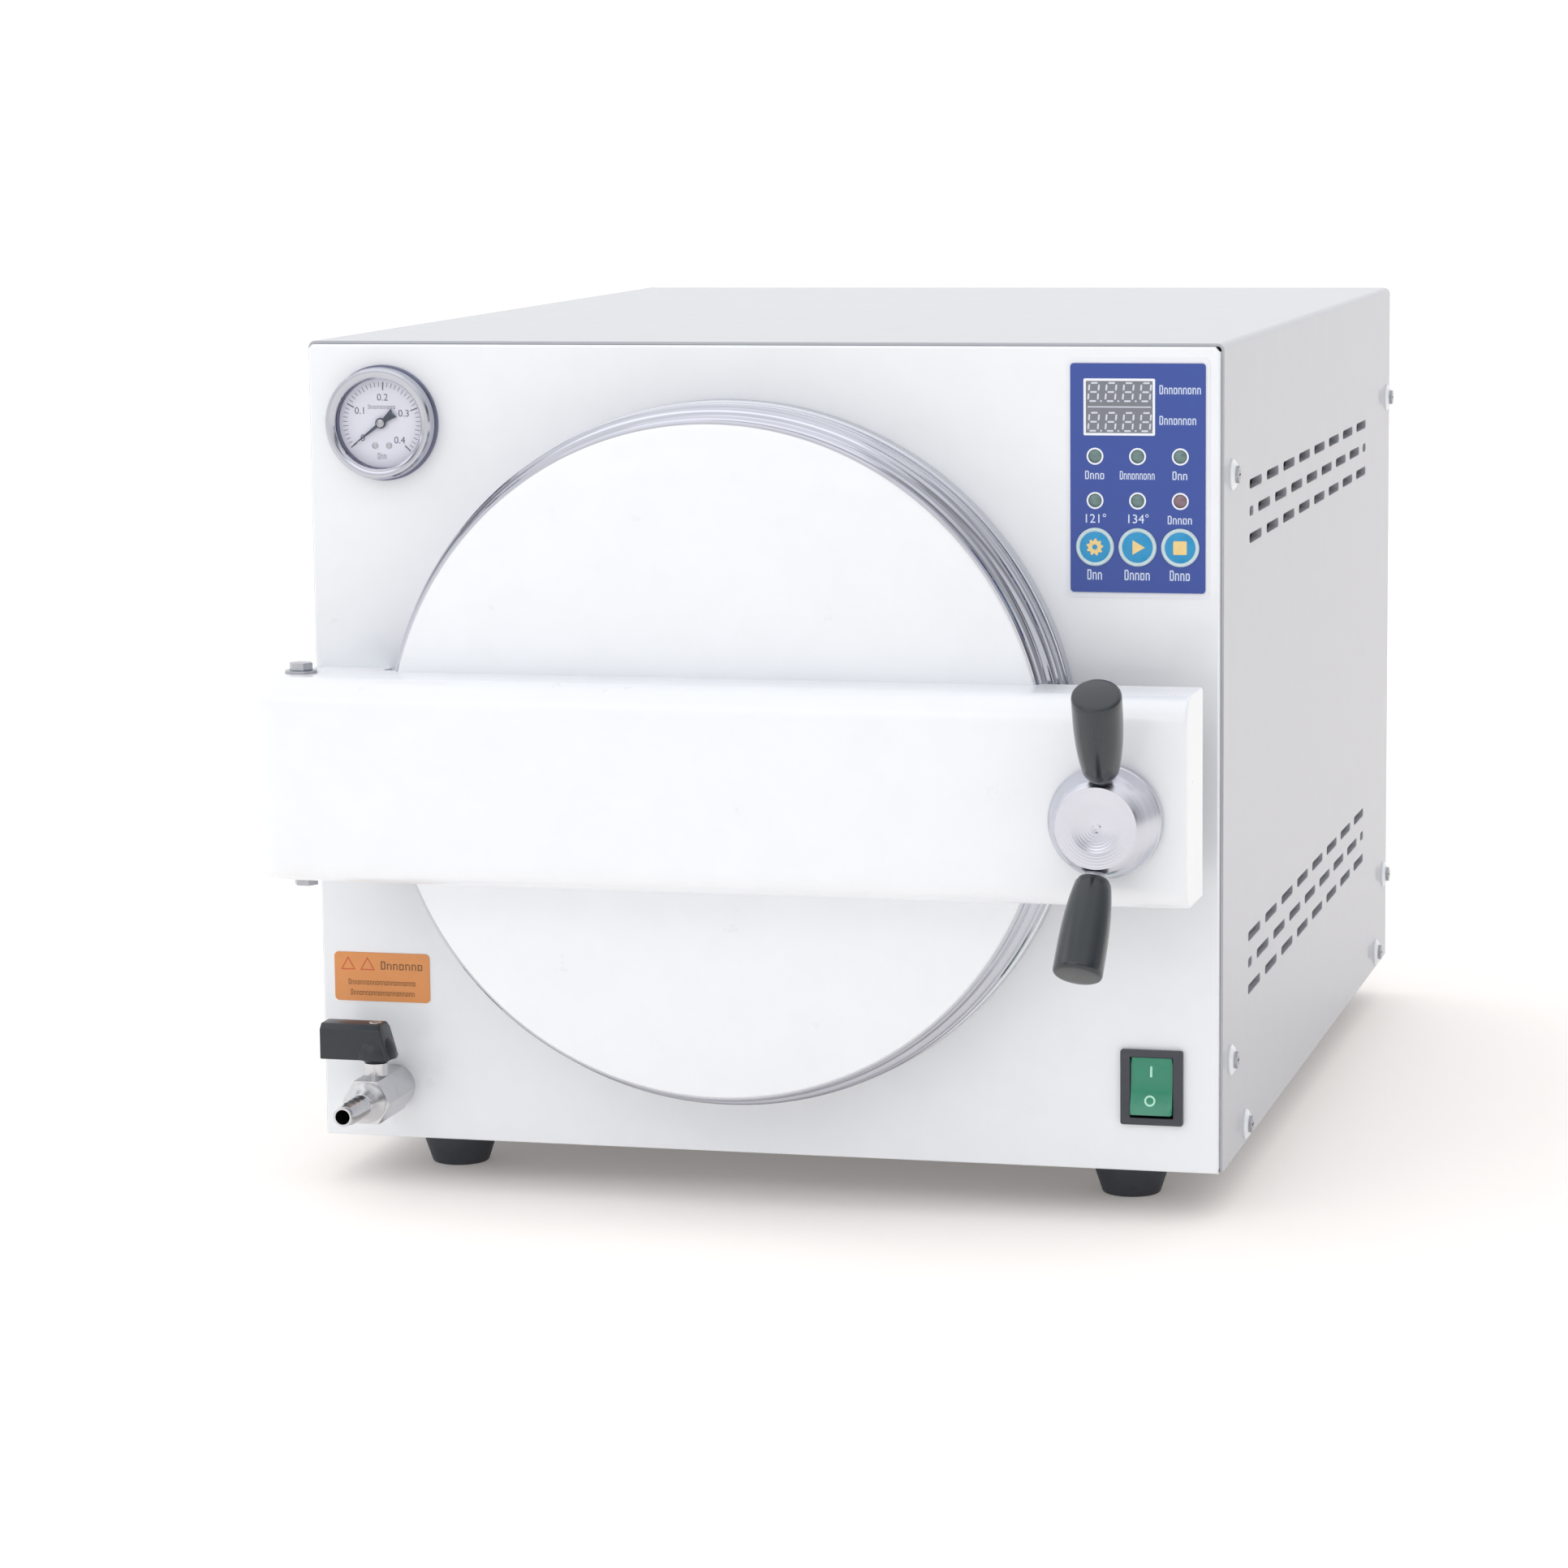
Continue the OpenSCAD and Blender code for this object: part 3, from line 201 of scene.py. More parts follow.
def make_materials():
    surface("white_paint", (238, 241, 245), 0.3, coat=0.5, spread=0.012, bump=0.04, bump_scale=900)
    surface("case_paint", (181, 183, 190), 0.36, coat=0.3, spread=0.015, bump=0.07, bump_scale=900)
    surface("polished_steel", (186, 188, 197), 0.1, 1.0, spread=0.04, scale=25, rough_spread=0.03)
    surface("stainless", (190, 191, 196), 0.3, 1.0, scale=40, stretch=(1, 30, 1), Anisotropic=0.5)
    surface("zinc_steel", (178, 180, 186), 0.33, 1.0, spread=0.09, scale=120)
    surface("element_steel", (92, 84, 80), 0.45, 1.0, spread=0.2, scale=80)
    surface("nickel", (205, 205, 208), 0.24, 1.0, spread=0.06, scale=150, bump=0.05)
    surface("brass", (201, 168, 98), 0.3, 1.0, spread=0.07, scale=90)
    surface("copper", (200, 122, 88), 0.32, 1.0, spread=0.1, scale=50)
    surface("rubber", (62, 66, 73), 0.62, spread=0.12, scale=200, bump=0.15)
    surface("silicone", (196, 92, 66), 0.55, scale=80, bump=0.08)
    surface("fibre_wrap", (226, 218, 198), 0.85, spread=0.12, scale=300, bump=0.6, bump_scale=700)
    surface("dial_white", (236, 237, 250), 0.5, spread=0.012, scale=90)
    surface("needle_black", (72, 80, 96), 0.4, spread=0.06, scale=300)
    surface("print_dark", (104, 106, 122), 0.5, scale=300)
    surface("print_grey", (158, 160, 176), 0.5, scale=300)
    surface("print_brown", (134, 92, 52), 0.5, spread=0.06, scale=300)
    surface("print_red", (206, 96, 60), 0.5, spread=0.06, scale=300)
    surface("print_white", (216, 226, 246), 0.45, spread=0.03, scale=300)
    surface("blue_film", (50, 76, 156), 0.34, spread=0.02, scale=120, bump=0.04)
    surface("film_border", (236, 238, 244), 0.4, spread=0.01, scale=100)
    surface("display_grey", (118, 121, 130), 0.3, spread=0.03, scale=120, coat=0.4)
    surface("display_frame", (236, 241, 248), 0.35, spread=0.02, scale=200)
    surface("segment_pale", (208, 214, 226), 0.4, scale=400)
    surface("lamp_green", (96, 124, 122), 0.2, spread=0.12, scale=500, coat=0.6)
    surface("lamp_red", (128, 100, 110), 0.2, spread=0.12, scale=500, coat=0.6)
    surface("key_rim", (200, 220, 224), 0.35, scale=400)
    surface("key_cyan", (20, 146, 200), 0.32, scale=300, coat=0.2)
    surface("key_sand", (238, 208, 140), 0.4, spread=0.04, scale=300)
    surface("board_green", (34, 104, 62), 0.4, spread=0.2, scale=160)
    surface("black_plastic", (60, 63, 71), 0.38, spread=0.06, scale=250, bump=0.06)
    surface("lever_black", (38, 44, 50), 0.36, spread=0.07, scale=250, bump=0.05)
    surface("grip_black", (34, 41, 47), 0.24, spread=0.06, scale=160, coat=0.3)
    surface("rocker_green", (28, 138, 106), 0.22, scale=120, coat=0.4, Transmission_Weight=0.06)
    surface("rocker_mark", (178, 236, 212), 0.4, spread=0.02, scale=400)
    surface("label_orange", (222, 148, 88), 0.45, spread=0.03, scale=150)
    # painted_shade_grey is painted shade: a dark grey-violet standing in for the shadow inside the gauge's
    # well, darker than the steel's own colour.
    surface("painted_shade_grey", (120, 122, 146), 0.3, 0.6, spread=0.08, scale=60)
    surface("clear_glass", (255, 255, 255), 0.02, spread=0.0, rough_spread=0.01,
            Transmission_Weight=1.0, IOR=1.08)
    turned_metal("aluminium", (206, 207, 216), middle("knob_hub"))
    turned_metal("turned_door", (205, 207, 214), middle("door_plate"), 0.16, 2600)


# ---- mesh helpers ----

def piece_from(name, bm, body, slot, *replaced, finish=None, sharp=32):
    """Makes an object of a bmesh, in the frame, riding on a body and standing for CAD nodes."""
    bmesh.ops.remove_doubles(bm, verts=bm.verts, dist=1e-7)
    bmesh.ops.recalc_face_normals(bm, faces=bm.faces)
    mesh = bpy.data.meshes.new(name)
    bm.to_mesh(mesh)
    bm.free()
    mesh.polygons.foreach_set("use_smooth", [True] * len(mesh.polygons))
    mesh.set_sharp_from_angle(angle=math.radians(sharp))
    obj = bpy.data.objects.new(name, mesh)
    bpy.context.scene.collection.objects.link(obj)
    mesh.materials.append(M[finish or slot])
    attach(obj, body)
    if replaced:
        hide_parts(*replaced)
    return obj


def rounded(points, amount, steps=3):
    """A closed outline with small arcs for corners, no wider than the sides beside them allow."""
    out = []
    count = len(points)
    for i, p in enumerate(points):
        p = Vector(p)
        before = Vector(points[i - 1]) - p
        after = Vector(points[(i + 1) % count]) - p
        reach = min(amount, before.length * 0.45, after.length * 0.45)
        start = p + before.normalized() * reach
        end = p + after.normalized() * reach
        for k in range(steps + 1):
            t = k / steps
            out.append(start * (1 - t) ** 2 + p * 2 * t * (1 - t) + end * t ** 2)
    return out


def ring_of(bm, points):
    return [bm.verts.new(p) for p in points]


def bridge(bm, ring, other, closed=True):
    count = len(ring)
    for i in range(count if closed else count - 1):
        j = (i + 1) % count
        corners = [ring[i], ring[j], other[j], other[i]]
        unique = list(dict.fromkeys(corners))
        if len(unique) > 2:
            bm.faces.new(unique)


def spin(bm, profile, point_at, steps, closed):
    """Adds a body turned about a line; profile points are (radius, place along the line) in metres."""
    rings = []
    for r, s in profile:
        if r < 1e-7:
            rings.append([bm.verts.new(point_at(0, 0, s))] * steps)
            continue
        around = []
        for k in range(steps):
            a = 2 * math.pi * k / steps
            around.append(point_at(r * math.cos(a), r * math.sin(a), s))
        rings.append(ring_of(bm, around))
    for i in range(len(rings) if closed else len(rings) - 1):
        bridge(bm, rings[i], rings[(i + 1) % len(rings)])


def turn(bm, centre, profile, steps=96, closed=True):
    """Adds a body turned about a line along Y through centre."""
    spin(bm, profile, lambda u, v, y: (centre.x + u, y, centre.z + v), steps, closed)


def upright(bm, centre, profile, steps=48, closed=True):
    """Adds a body turned about an upright line through centre."""
    spin(bm, profile, lambda u, v, z: (centre.x + u, centre.y + v, z), steps, closed)


def along(bm, start, direction, profile, steps=64):
    """Adds a body turned about the line that leaves start in a direction."""
    place = Matrix.Translation(start) @ direction.to_track_quat("Z", "Y").to_matrix().to_4x4()
    spin(bm, profile, lambda u, v, s: place @ Vector((u, v, s)), steps, closed=False)


def turned_piece(name, centre, profile, steps, body, slot, *replaced, closed=True, **more):
    """Makes a piece that is one body turned about a line along Y."""
    bm = bmesh.new()
    turn(bm, centre, profile, steps, closed)
    piece_from(name, bm, body, slot, *replaced, **more)


def slab(bm, outline, y_front, y_back):
    """Adds a plate: outline of (x, z) in metres between two values of y."""
    front = ring_of(bm, [(x, y_front, z) for x, z in outline])
    back = ring_of(bm, [(x, y_back, z) for x, z in outline])
    bridge(bm, front, back)
    bm.faces.new(front)
    bm.faces.new(list(reversed(back)))


def framed_slab(bm, outer, inner, y_front, y_back, across=False):
    """Adds a frame between two outlines with the same number of points, along Y or, across, along X."""
    rings = []
    for outline, y in ((outer, y_front), (outer, y_back), (inner, y_back), (inner, y_front)):
        rings.append(ring_of(bm, [(y, x, z) if across else (x, y, z) for x, z in outline]))
    for i in range(4):
        bridge(bm, rings[i], rings[(i + 1) % 4])


def rectangle(x, z, w, h, corner=0.0, steps=4):
    points = [(x + i * w / 2, z + k * h / 2) for i, k in ((-1, -1), (1, -1), (1, 1), (-1, 1))]
    if not corner:
        return points
    return [(p.x, p.y) for p in rounded(points, corner, steps)]


def circle(x, z, r, steps=32):
    angles = [2 * math.pi * k / steps for k in range(steps)]
    return [(x + r * math.cos(a), z + r * math.sin(a)) for a in angles]


def bevel(bm, edges, width, segments):
    bmesh.ops.bevel(bm, geom=edges, offset=width, segments=segments, profile=0.5,
                    affect="EDGES", clamp_overlap=True)


def softened(node, slot, width=0.4, segments=2, angle=28, pick=None, finish=None, extra=None):
    """The CAD node's own shape with its sharp edges rounded off."""
    bm = bmesh.new()
    bm.from_mesh(NODES[node].data)
    bmesh.ops.remove_doubles(bm, verts=bm.verts, dist=1e-6)
    bmesh.ops.dissolve_limit(bm, angle_limit=math.radians(1), verts=bm.verts, edges=bm.edges)
    limit = math.radians(angle)
    edges = []
    for edge in bm.edges:
        if len(edge.link_faces) == 2 and edge.calc_face_angle(0) > limit:
            if pick is None or pick(edge):
                edges.append(edge)
    bevel(bm, edges, width * MM, segments)
    if extra:
        extra(bm)
    body = NODES[node]["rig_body"]
    obj = piece_from(node + "_form", bm, body, slot, node, finish=finish)
    smooth = obj.modifiers.new("even shading", "WEIGHTED_NORMAL")
    smooth.keep_sharp = True
    return obj


def dress(node, slot):
    """Keeps the CAD node as it is and gives it its material."""
    mesh = NODES[node].data
    mesh.materials.clear()
    mesh.materials.append(M[slot])


def lettering(name, words, size, body, slot, finish):
    """Raised characters: each entry is (text, x, y, z) with the middle of the text at that place."""
    bm = bmesh.new()
    for text, x, y, z in words:
        curve = bpy.data.curves.new(name, "FONT")
        curve.body = text
        curve.size = size
        curve.align_x = "CENTER"
        curve.align_y = "CENTER"
        curve.extrude = 0.03 * MM
        curve.resolution_u = 3
        holder = bpy.data.objects.new(name, curve)
        bpy.context.scene.collection.objects.link(holder)
        bpy.context.view_layer.update()
        mesh = bpy.data.meshes.new_from_object(holder.evaluated_get(bpy.context.evaluated_depsgraph_get()))
        turn_up = Matrix.Translation((x, y, z)) @ Matrix.Rotation(math.radians(90), 4, "X")
        mesh.transform(turn_up)
        bm.from_mesh(mesh)
        bpy.data.objects.remove(holder)
        bpy.data.curves.remove(curve)
        bpy.data.meshes.remove(mesh)
    return piece_from(name, bm, body, slot, finish=finish)


# ---- camera, light and floor ----

def make_camera():
    """Stands where the photograph was taken from; its height is measured from the top of the feet."""
    azimuth, elevation, roll = [math.radians(v) for v in (14.515, 8.264, -0.615)]
    back = Vector((math.sin(azimuth) * math.cos(elevation), -math.cos(azimuth) * math.cos(elevation),
                   math.sin(elevation)))
    right = (-back).cross(Vector((0, 0, 1))).normalized()
    up = right.cross(-back)
    level_right = right * math.cos(roll) + up * math.sin(roll)
    level_up = -right * math.sin(roll) + up * math.cos(roll)
    camera = bpy.data.objects.new("camera", bpy.data.cameras.new("camera"))
    turn_to = Matrix((level_right, level_up, back)).transposed().to_4x4()
    above_case = at(517.08, -1953.4, 452.65) + Vector((0, 0, high("rubber_feet").z))
    camera.matrix_world = Matrix.Translation(above_case) @ turn_to
    camera.data.lens = 111.147
    camera.data.sensor_width = 36
    bpy.context.scene.collection.objects.link(camera)
    bpy.context.scene.camera = camera


def area_light(name, place, target, size, power, colour=(1, 1, 1)):
    light = bpy.data.lights.new(name, "AREA")
    light.shape = "RECTANGLE"
    light.size = size[0]
    light.size_y = size[1]
    light.energy = power
    light.color = colour
    obj = bpy.data.objects.new(name, light)
    obj.location = place
    obj.rotation_euler = (Vector(target) - Vector(place)).to_track_quat("-Z", "Y").to_euler()
    bpy.context.scene.collection.objects.link(obj)


def make_lights():
    area_light("front", (-0.9, -3.0, 1.5), (0, -0.2, 0.2), (2.2, 1.6), 9)
    area_light("above", (-0.4, -0.3, 2.6), (0, 0, 0.2), (2.4, 2.4), 4)
    area_light("left", (-2.6, -1.0, 1.4), (0, 0, 0.2), (1.4, 1.8), 4)


def graded(tree, source, stops):
    """A brightness looked up along one direction."""
    ramp = tree.nodes.new("ShaderNodeValToRGB")
    while len(ramp.color_ramp.elements) < len(stops):
        ramp.color_ramp.elements.new(0.5)
    for element, (place, value) in zip(ramp.color_ramp.elements, stops):
        element.position = place
        element.color = (value, value, value * 1.01, 1)
    tree.links.new(source, ramp.inputs["Fac"])
    return ramp.outputs["Color"]


def make_world():
    """A bright studio: even behind the machine, with softer and darker bands on the camera's side."""
    world = bpy.data.worlds.new("studio")
    bpy.context.scene.world = world
    world.use_nodes = True
    tree = world.node_tree
    where = tree.nodes.new("ShaderNodeTexCoord")
    split = tree.nodes.new("ShaderNodeSeparateXYZ")
    tree.links.new(where.outputs["Generated"], split.inputs[0])
    near_stops = ((0.0, 0.85), (0.1, 0.95), (0.2, 0.38), (0.32, 0.32), (0.45, 1.0), (1.0, 1.0))
    near = graded(tree, split.outputs["Z"], near_stops)
    far = graded(tree, split.outputs["Z"], ((0.0, 1.0), (1.0, 1.0)))
    behind = add(tree, "ShaderNodeMapRange", From_Min=-0.15, From_Max=0.15)
    tree.links.new(split.outputs["Y"], behind.inputs["Value"])
    blend = tree.nodes.new("ShaderNodeMix")
    blend.data_type = "RGBA"
    tree.links.new(behind.outputs["Result"], blend.inputs["Factor"])
    tree.links.new(near, blend.inputs[6])
    tree.links.new(far, blend.inputs[7])
    right = add(tree, "ShaderNodeMapRange", From_Min=0.55, From_Max=0.9, To_Min=1.12, To_Max=0.55)
    tree.links.new(split.outputs["X"], right.inputs["Value"])
    tree.links.new(blend.outputs[2], tree.nodes["Background"].inputs["Color"])
    tree.links.new(right.outputs["Result"], tree.nodes["Background"].inputs["Strength"])


def make_floor():
    reach = 30
    bm = bmesh.new()
    bm.faces.new([bm.verts.new((x, y, 0)) for x, y in circle(0, 0, reach, 64)])
    mesh = bpy.data.meshes.new("floor")
    bm.to_mesh(mesh)
    bm.free()
    floor = bpy.data.objects.new("floor", mesh)
    bpy.context.scene.collection.objects.link(floor)
    surface("floor_pale", (248, 245, 242), 0.9, spread=0.002, scale=3,
            Emission_Color=linear(250, 243, 237), Emission_Strength=0.16)
    mesh.materials.append(M["floor_pale"])


# ---- case ----

def at_front_fold(edge):
    """Edges of the panel's face that run along its two sides, its top or its bottom."""
    lo, hi = box("front_panel")
    near = 0.1 * MM
    if any(v.co.y > lo.y + near for v in edge.verts):
        return False
    side = all(abs(abs(v.co.x - CASE_X) - radius("front_panel")) < near for v in edge.verts)
    level = all(abs(v.co.z - hi.z) < near or abs(v.co.z - lo.z) < near for v in edge.verts)
    return side or level


def lower_folds(bm):
    """Carries the panel's two side folds down to the pan, so that the corner isn't open."""
    lo, hi = box("front_panel")
    sheet = 1.2 * MM
    deep = 30 * MM
    bottom = lo.z + 1.5 * MM
    top = lo.z + 33.8 * MM
    for side in (1, -1):
        x = CASE_X + side * (hi.x - CASE_X - sheet / 2)
        slab(bm, rectangle(x, (bottom + top) / 2, sheet, top - bottom), lo.y + sheet, lo.y + deep)


def make_case():
    softened("case_cover", "case_paint", 0.3, 2, 40)
    softened("front_panel", "white_paint", 1.0, 4, 40, pick=at_front_fold, extra=lower_folds)
    softened("rear_panel", "case_paint", 0.3, 2, 40)
    softened("base_pan", "zinc_steel", 0.3, 2, 40)
    louvre_lips()


def racetrack(y, z, length, height, inset=0.0):
    """Outline of a slot from its left end, as (y, z) points."""
    r = height / 2 - inset
    points = []
    for centre, first in ((y + length - height / 2, -90), (y + height / 2, 90)):
        for k in range(9):
            a = math.radians(first + 22.5 * k)
            points.append((centre + r * math.cos(a), z + r * math.sin(a)))
    return points


def louvre_lips():
    """The folded-in edge of each slot in the cover's sides; the middle row of each three is staggered."""
    face = high("case_cover").x - 0.05 * MM
    pan = high("rubber_feet").z
    height = 5 * MM
    long = 34 * MM
    short = 11 * MM
    lip = 0.45 * MM
    depth = 4.2 * MM
    pitch = 47.4 * MM
    count = 8
    first = FRONT_Y + 70 * MM
    last = first + (count - 1) * pitch + long
    bm = bmesh.new()
    for index, row in enumerate((65, 76.5, 88, 259, 270.5, 282)):
        z = pan + row * MM
        slots = [(first + k * pitch, long) for k in range(count)]
        if index % 3 == 1:
            slots = [(first + (k + 0.5) * pitch, long) for k in range(count - 1)]
            slots += [(first, short), (last - short, short)]
        for y, length in slots:
            outer = racetrack(y, z, length, height)
            inner = racetrack(y, z, length, height, lip)
            for side in (1, -1):
                x = CASE_X + side * (face - CASE_X)
                framed_slab(bm, outer, inner, x, x - side * depth, across=True)
    piece_from("louvre_edges", bm, "cabinet", "case_paint", sharp=40)


def make_feet():
    lo, hi = box("rubber_feet")
    r_top = 16.8 * MM
    r_low = 12.3 * MM
    bore = 2.1 * MM
    recess = 5.5 * MM
    roof = 7 * MM
    profile = [(bore, roof), (recess, roof), (recess, 0), (r_low, 0), (r_top, hi.z - 6.5 * MM),
               (r_top, hi.z), (bore, hi.z)]
    smooth = rounded(profile, 0.9 * MM)
    bm = bmesh.new()
    for x in (lo.x + r_top, hi.x - r_top):
        for y in (lo.y + r_top, hi.y - r_top):
            upright(bm, Vector((x, y, 0)), smooth)
    piece_from("feet", bm, "cabinet", "rubber", "rubber_feet", sharp=40)


# ---- door ----

def make_door_cover():
    r = radius("door_cover")
    front = low("door_cover").y
    hole = 10.3 * MM
    sheet = 1.5 * MM
    rim = in_mm([(-1.6, 0), (-0.5, 0.35), (0, 1.1), (0, 1.5), (-3.2, 1.5), (-3.2, 8), (-4.7, 8),
                 (-4.7, 1.5)], r, front)
    profile = [(hole, front), (r * 0.5, front)] + rim + [(hole, front + sheet)]
    turned_piece("door_cover_form", middle("door_cover"), profile, 200, "door", "white_paint", "door_cover")


def make_door_plate():
    """The polished plate: a stepped rim, and on its back the seat of the gasket."""
    r = radius("door_plate")
    front = low("door_plate").y
    back = high("door_plate").y
    rim = in_mm([(-3, 0), (-1.8, 0.5), (-1.2, 1.2), (-1.2, 4.2), (-2.2, 4.5), (-2.2, 5.3), (-0.6, 5.6),
                 (0, 6.4), (0, 9.6), (-0.8, 9.9), (-0.8, 10.6), (0, 10.9)], r, front)
    rim += in_mm([(0, -0.8), (-0.8, 0), (-6, 0), (-6, -4.5)], r, back)
    seat = in_mm([(127, -4.5), (127, 0), (123, 0), (119, -6.5), (0, -6.5)], 0, back)
    turned_piece("door_plate_form", middle("door_plate"), [(0, front)] + rim + seat, 200,
                 "door", "polished_steel", "door_plate", closed=False, sharp=24)


def make_door_trim():
    """The polished ring round the door cover."""
    lo, hi = box("door_trim_ring")
    inner = radius("door_cover") - 3 * MM
    r = radius("door_trim_ring")
    rim = in_mm([(-2.2, 0), (-1.5, 0.7), (-1.4, 3.6), (-2.4, 4.0), (-2.4, 4.8), (-0.9, 5.2), (0, 6.4),
                 (0, 9.2), (-0.9, 9.5), (-0.9, 10.1), (0, 10.4)], r, lo.y)
    profile = [(inner, lo.y)] + rim + [(r, hi.y), (inner, hi.y)]
    turned_piece("door_trim_form", middle("door_plate"), profile, 200,
                 "door", "polished_steel", "door_trim_ring", sharp=24)


def make_mouth():
    """The polished flange of the chamber, which the door closes against."""
    lo, hi = box("chamber_flange")
    r = radius("chamber_flange")
    bore = 125 * MM
    neck = 142 * MM
    seat = hi.y - 8 * MM
    profile = [(bore, lo.y), (r, lo.y), (r, seat), (neck, seat), (neck, hi.y), (bore, hi.y)]
    turned_piece("mouth_flange", middle("chamber_flange"), rounded(profile, 0.9 * MM), 200,
                 "cabinet", "polished_steel", "chamber_flange", finish="turned_door")


def make_gasket():
    lo, hi = box("door_gasket")
    r = radius("door_gasket")
    inner = 127.5 * MM
    half = (r - inner) / 2
    crown = 1.4 * MM
    lip = []
    for k in range(9):
        a = math.pi * k / 8
        lip.append((r - half + half * math.cos(a), hi.y - crown + crown * math.sin(a)))
    turned_piece("gasket", middle("door_gasket"), [(inner, lo.y), (r, lo.y)] + lip, 160,
                 "door", "silicone", "door_gasket")


# ---- door bar ----

def bar_section(inset, back, half, front, corner):
    """Half-open outline of the bar: points of (distance forward of the hinge line, z)."""
    r = corner - inset
    f = front - inset
    h = half - inset
    points = [(back, h)]
    if back < 0:
        points.append((0, h))
    for k in range(9):
        a = math.pi / 2 * (1 - k / 8)
        points.append((f - r + r * math.cos(a), h - r + r * math.sin(a)))
    lower = [(d, -z) for d, z in reversed(points)]
    return points + lower


def bar_shell(bm, stations, section):
    """Adds the section at each station, a (place, forward direction) pair, and returns the rings."""
    rings = []
    for place, forward in stations:
        rings.append(ring_of(bm, [place + forward * d + Vector((0, 0, z)) for d, z in section]))
    for i in range(len(rings) - 1):
        bridge(bm, rings[i], rings[i + 1], closed=False)
    return rings


def make_bar():
    """The channel across the door: an arc round the hinge line at its left, then a straight run."""
    lo, hi = box("door_bar")
    half = (hi.z - lo.z) / 2
    axis = Vector((middle("hinge_bolts").x, middle("hinge_bolts").y, (hi.z + lo.z) / 2))
    front = axis.y - lo.y
    back = axis.y - hi.y
    corner = 12 * MM
    sheet = 2 * MM
    right = hi.x - 1.2 * MM
    arc = []
    for k in range(19):
        a = math.radians(180 + 5 * k)
        arc.append((axis, Vector((math.cos(a), math.sin(a), 0))))
    run = []
    count = 24
    for k in range(count + 1):
        run.append((axis + Vector(((right - axis.x) * k / count, 0, 0)), Vector((0, -1, 0))))
    bm = bmesh.new()
    for stations, start in ((arc, 0.0), (run, back)):
        section = bar_section(0, start, half, front, corner)
        outer = bar_shell(bm, stations, section)
        inner = bar_shell(bm, stations, bar_section(sheet, start, half, front, corner))
        for i in range(len(stations) - 1):
            for side in (0, -1):
                bm.faces.new([outer[i][side], outer[i + 1][side], inner[i + 1][side], inner[i][side]])
        if start:
            for edge, inward in ((0, 1), (-1, -2)):
                bm.faces.new([outer[0][edge], outer[0][inward], inner[0][inward], inner[0][edge]])
            end_cap(bm, outer[-1], inner[-1], section, axis, right, hi.x)
        else:
            bridge(bm, outer[0], inner[0], closed=False)
    piece_from("door_bar_form", bm, "door", "white_paint", "door_bar", sharp=38)


def end_cap(bm, outer, inner, section, axis, start, end):
    """Closes the bar's right end with a plate whose outer edge is rounded."""
    reach = end - start
    depth = [d for d, z in section]
    near_front = (max(depth) + min(depth)) / 2 + 8 * MM
    steps = 4
    previous = outer
    for k in range(1, steps + 1):
        a = math.pi / 2 * k / steps
        shrink = reach * (1 - math.cos(a))
        x = start + reach * math.sin(a)
        ring = []
        for d, z in section:
            shorter = shrink if d > near_front else 0
            inward = -shrink if z > 0 else shrink
            ring.append((x, axis.y - (d - shorter), axis.z + z + inward))
        verts = ring_of(bm, ring)
        bridge(bm, previous, verts, closed=False)
        bm.faces.new([previous[-1], verts[-1], verts[0], previous[0]])
        previous = verts
    bm.faces.new(previous)
    bm.faces.new(inner)
    bm.faces.new([outer[0], inner[0], inner[-1], outer[-1]])


def make_hinge():
    softened("hinge_bracket", "white_paint", 0.8, 3, 40)
    softened("hinge_bolts", "zinc_steel", 0.5, 2, 50)
    dress("hinge_washers", "zinc_steel")


# ---- knob ----

def make_knob():
    """The turned hub: a rim, a cone, and in its face a shallow dish with a centre mark."""
    lo, hi = box("knob_hub")
    r = radius("knob_hub")
    tip = 17.3 * MM
    bore = 5.02
    rim = in_mm([(-0.7, 0), (0, -0.7), (0, -5.6), (-0.9, -6.9)], r, hi.y)
    cone = in_mm([(2.1, 4.2), (0, 0.9), (-0.9, 0)], tip, lo.y)
    dish = in_mm([(10.6, 0), (9.4, 0.25), (7.8, 0.75), (5, 1.25), (2, 1.6), (1.3, 1.2), (0.6, 1.3),
                  (0, 1.5), (0, 8), (bore, 8)], 0, lo.y)
    turned_piece("knob_body", middle("knob_hub"), [(bore * MM, hi.y)] + rim + cone + dish, 128,
                 "knob", "aluminium", "knob_hub", closed=False, sharp=26)


def lever_frames():
    """For each lever: the place where it meets the knob's axis and its direction."""
    hub = middle("knob_hub")
    start = Vector((hub.x, high("knob_hub").y - 6 * MM, hub.z))
    lean = math.radians(33)
    swing = math.radians(4)
    for s in (1, -1):
        across = s * math.cos(lean)
        yield start, Vector((across * math.sin(swing), -math.sin(lean), across * math.cos(swing)))


def grip_profile():
    """Half outline of a grip: the rod's hole, a chamfered start, a swelling side and a domed end."""
    thin = 7.3 * MM
    thick = 10 * MM
    begin = 25 * MM
    length = 42 * MM
    end = begin + length
    hole = 4.02
    side = []
    for k in range(13):
        t = k / 12
        swell = 1 - (1 - t) ** 3
        side.append((thin + (thick - thin) * swell, begin + 2.4 * MM + (length - 4.4 * MM) * t))
    bore = in_mm([(0, 44.1), (hole, 44.1), (hole, 25)])
    nose = in_mm([(-2.6, 0), (-1.1, 0.5)], thin, begin)
    dome = in_mm([(-0.15, -1.2), (-0.6, -0.55), (-1.2, -0.3), (-2.0, -0.1)], thick, end)
    return bore + nose + side + dome + [(0, end)]


def make_levers():
    rod = in_mm([(0, 13), (4, 13), (4, 44), (0, 44)])
    rods = bmesh.new()
    grips = bmesh.new()
    for start, direction in lever_frames():
        along(rods, start, direction, rod, 40)
        along(grips, start, direction, grip_profile(), 72)
    piece_from("lever_rod_forms", rods, "knob", "stainless", "lever_rods")
    piece_from("lever_grip_forms", grips, "knob", "grip_black", "lever_grips", sharp=40)


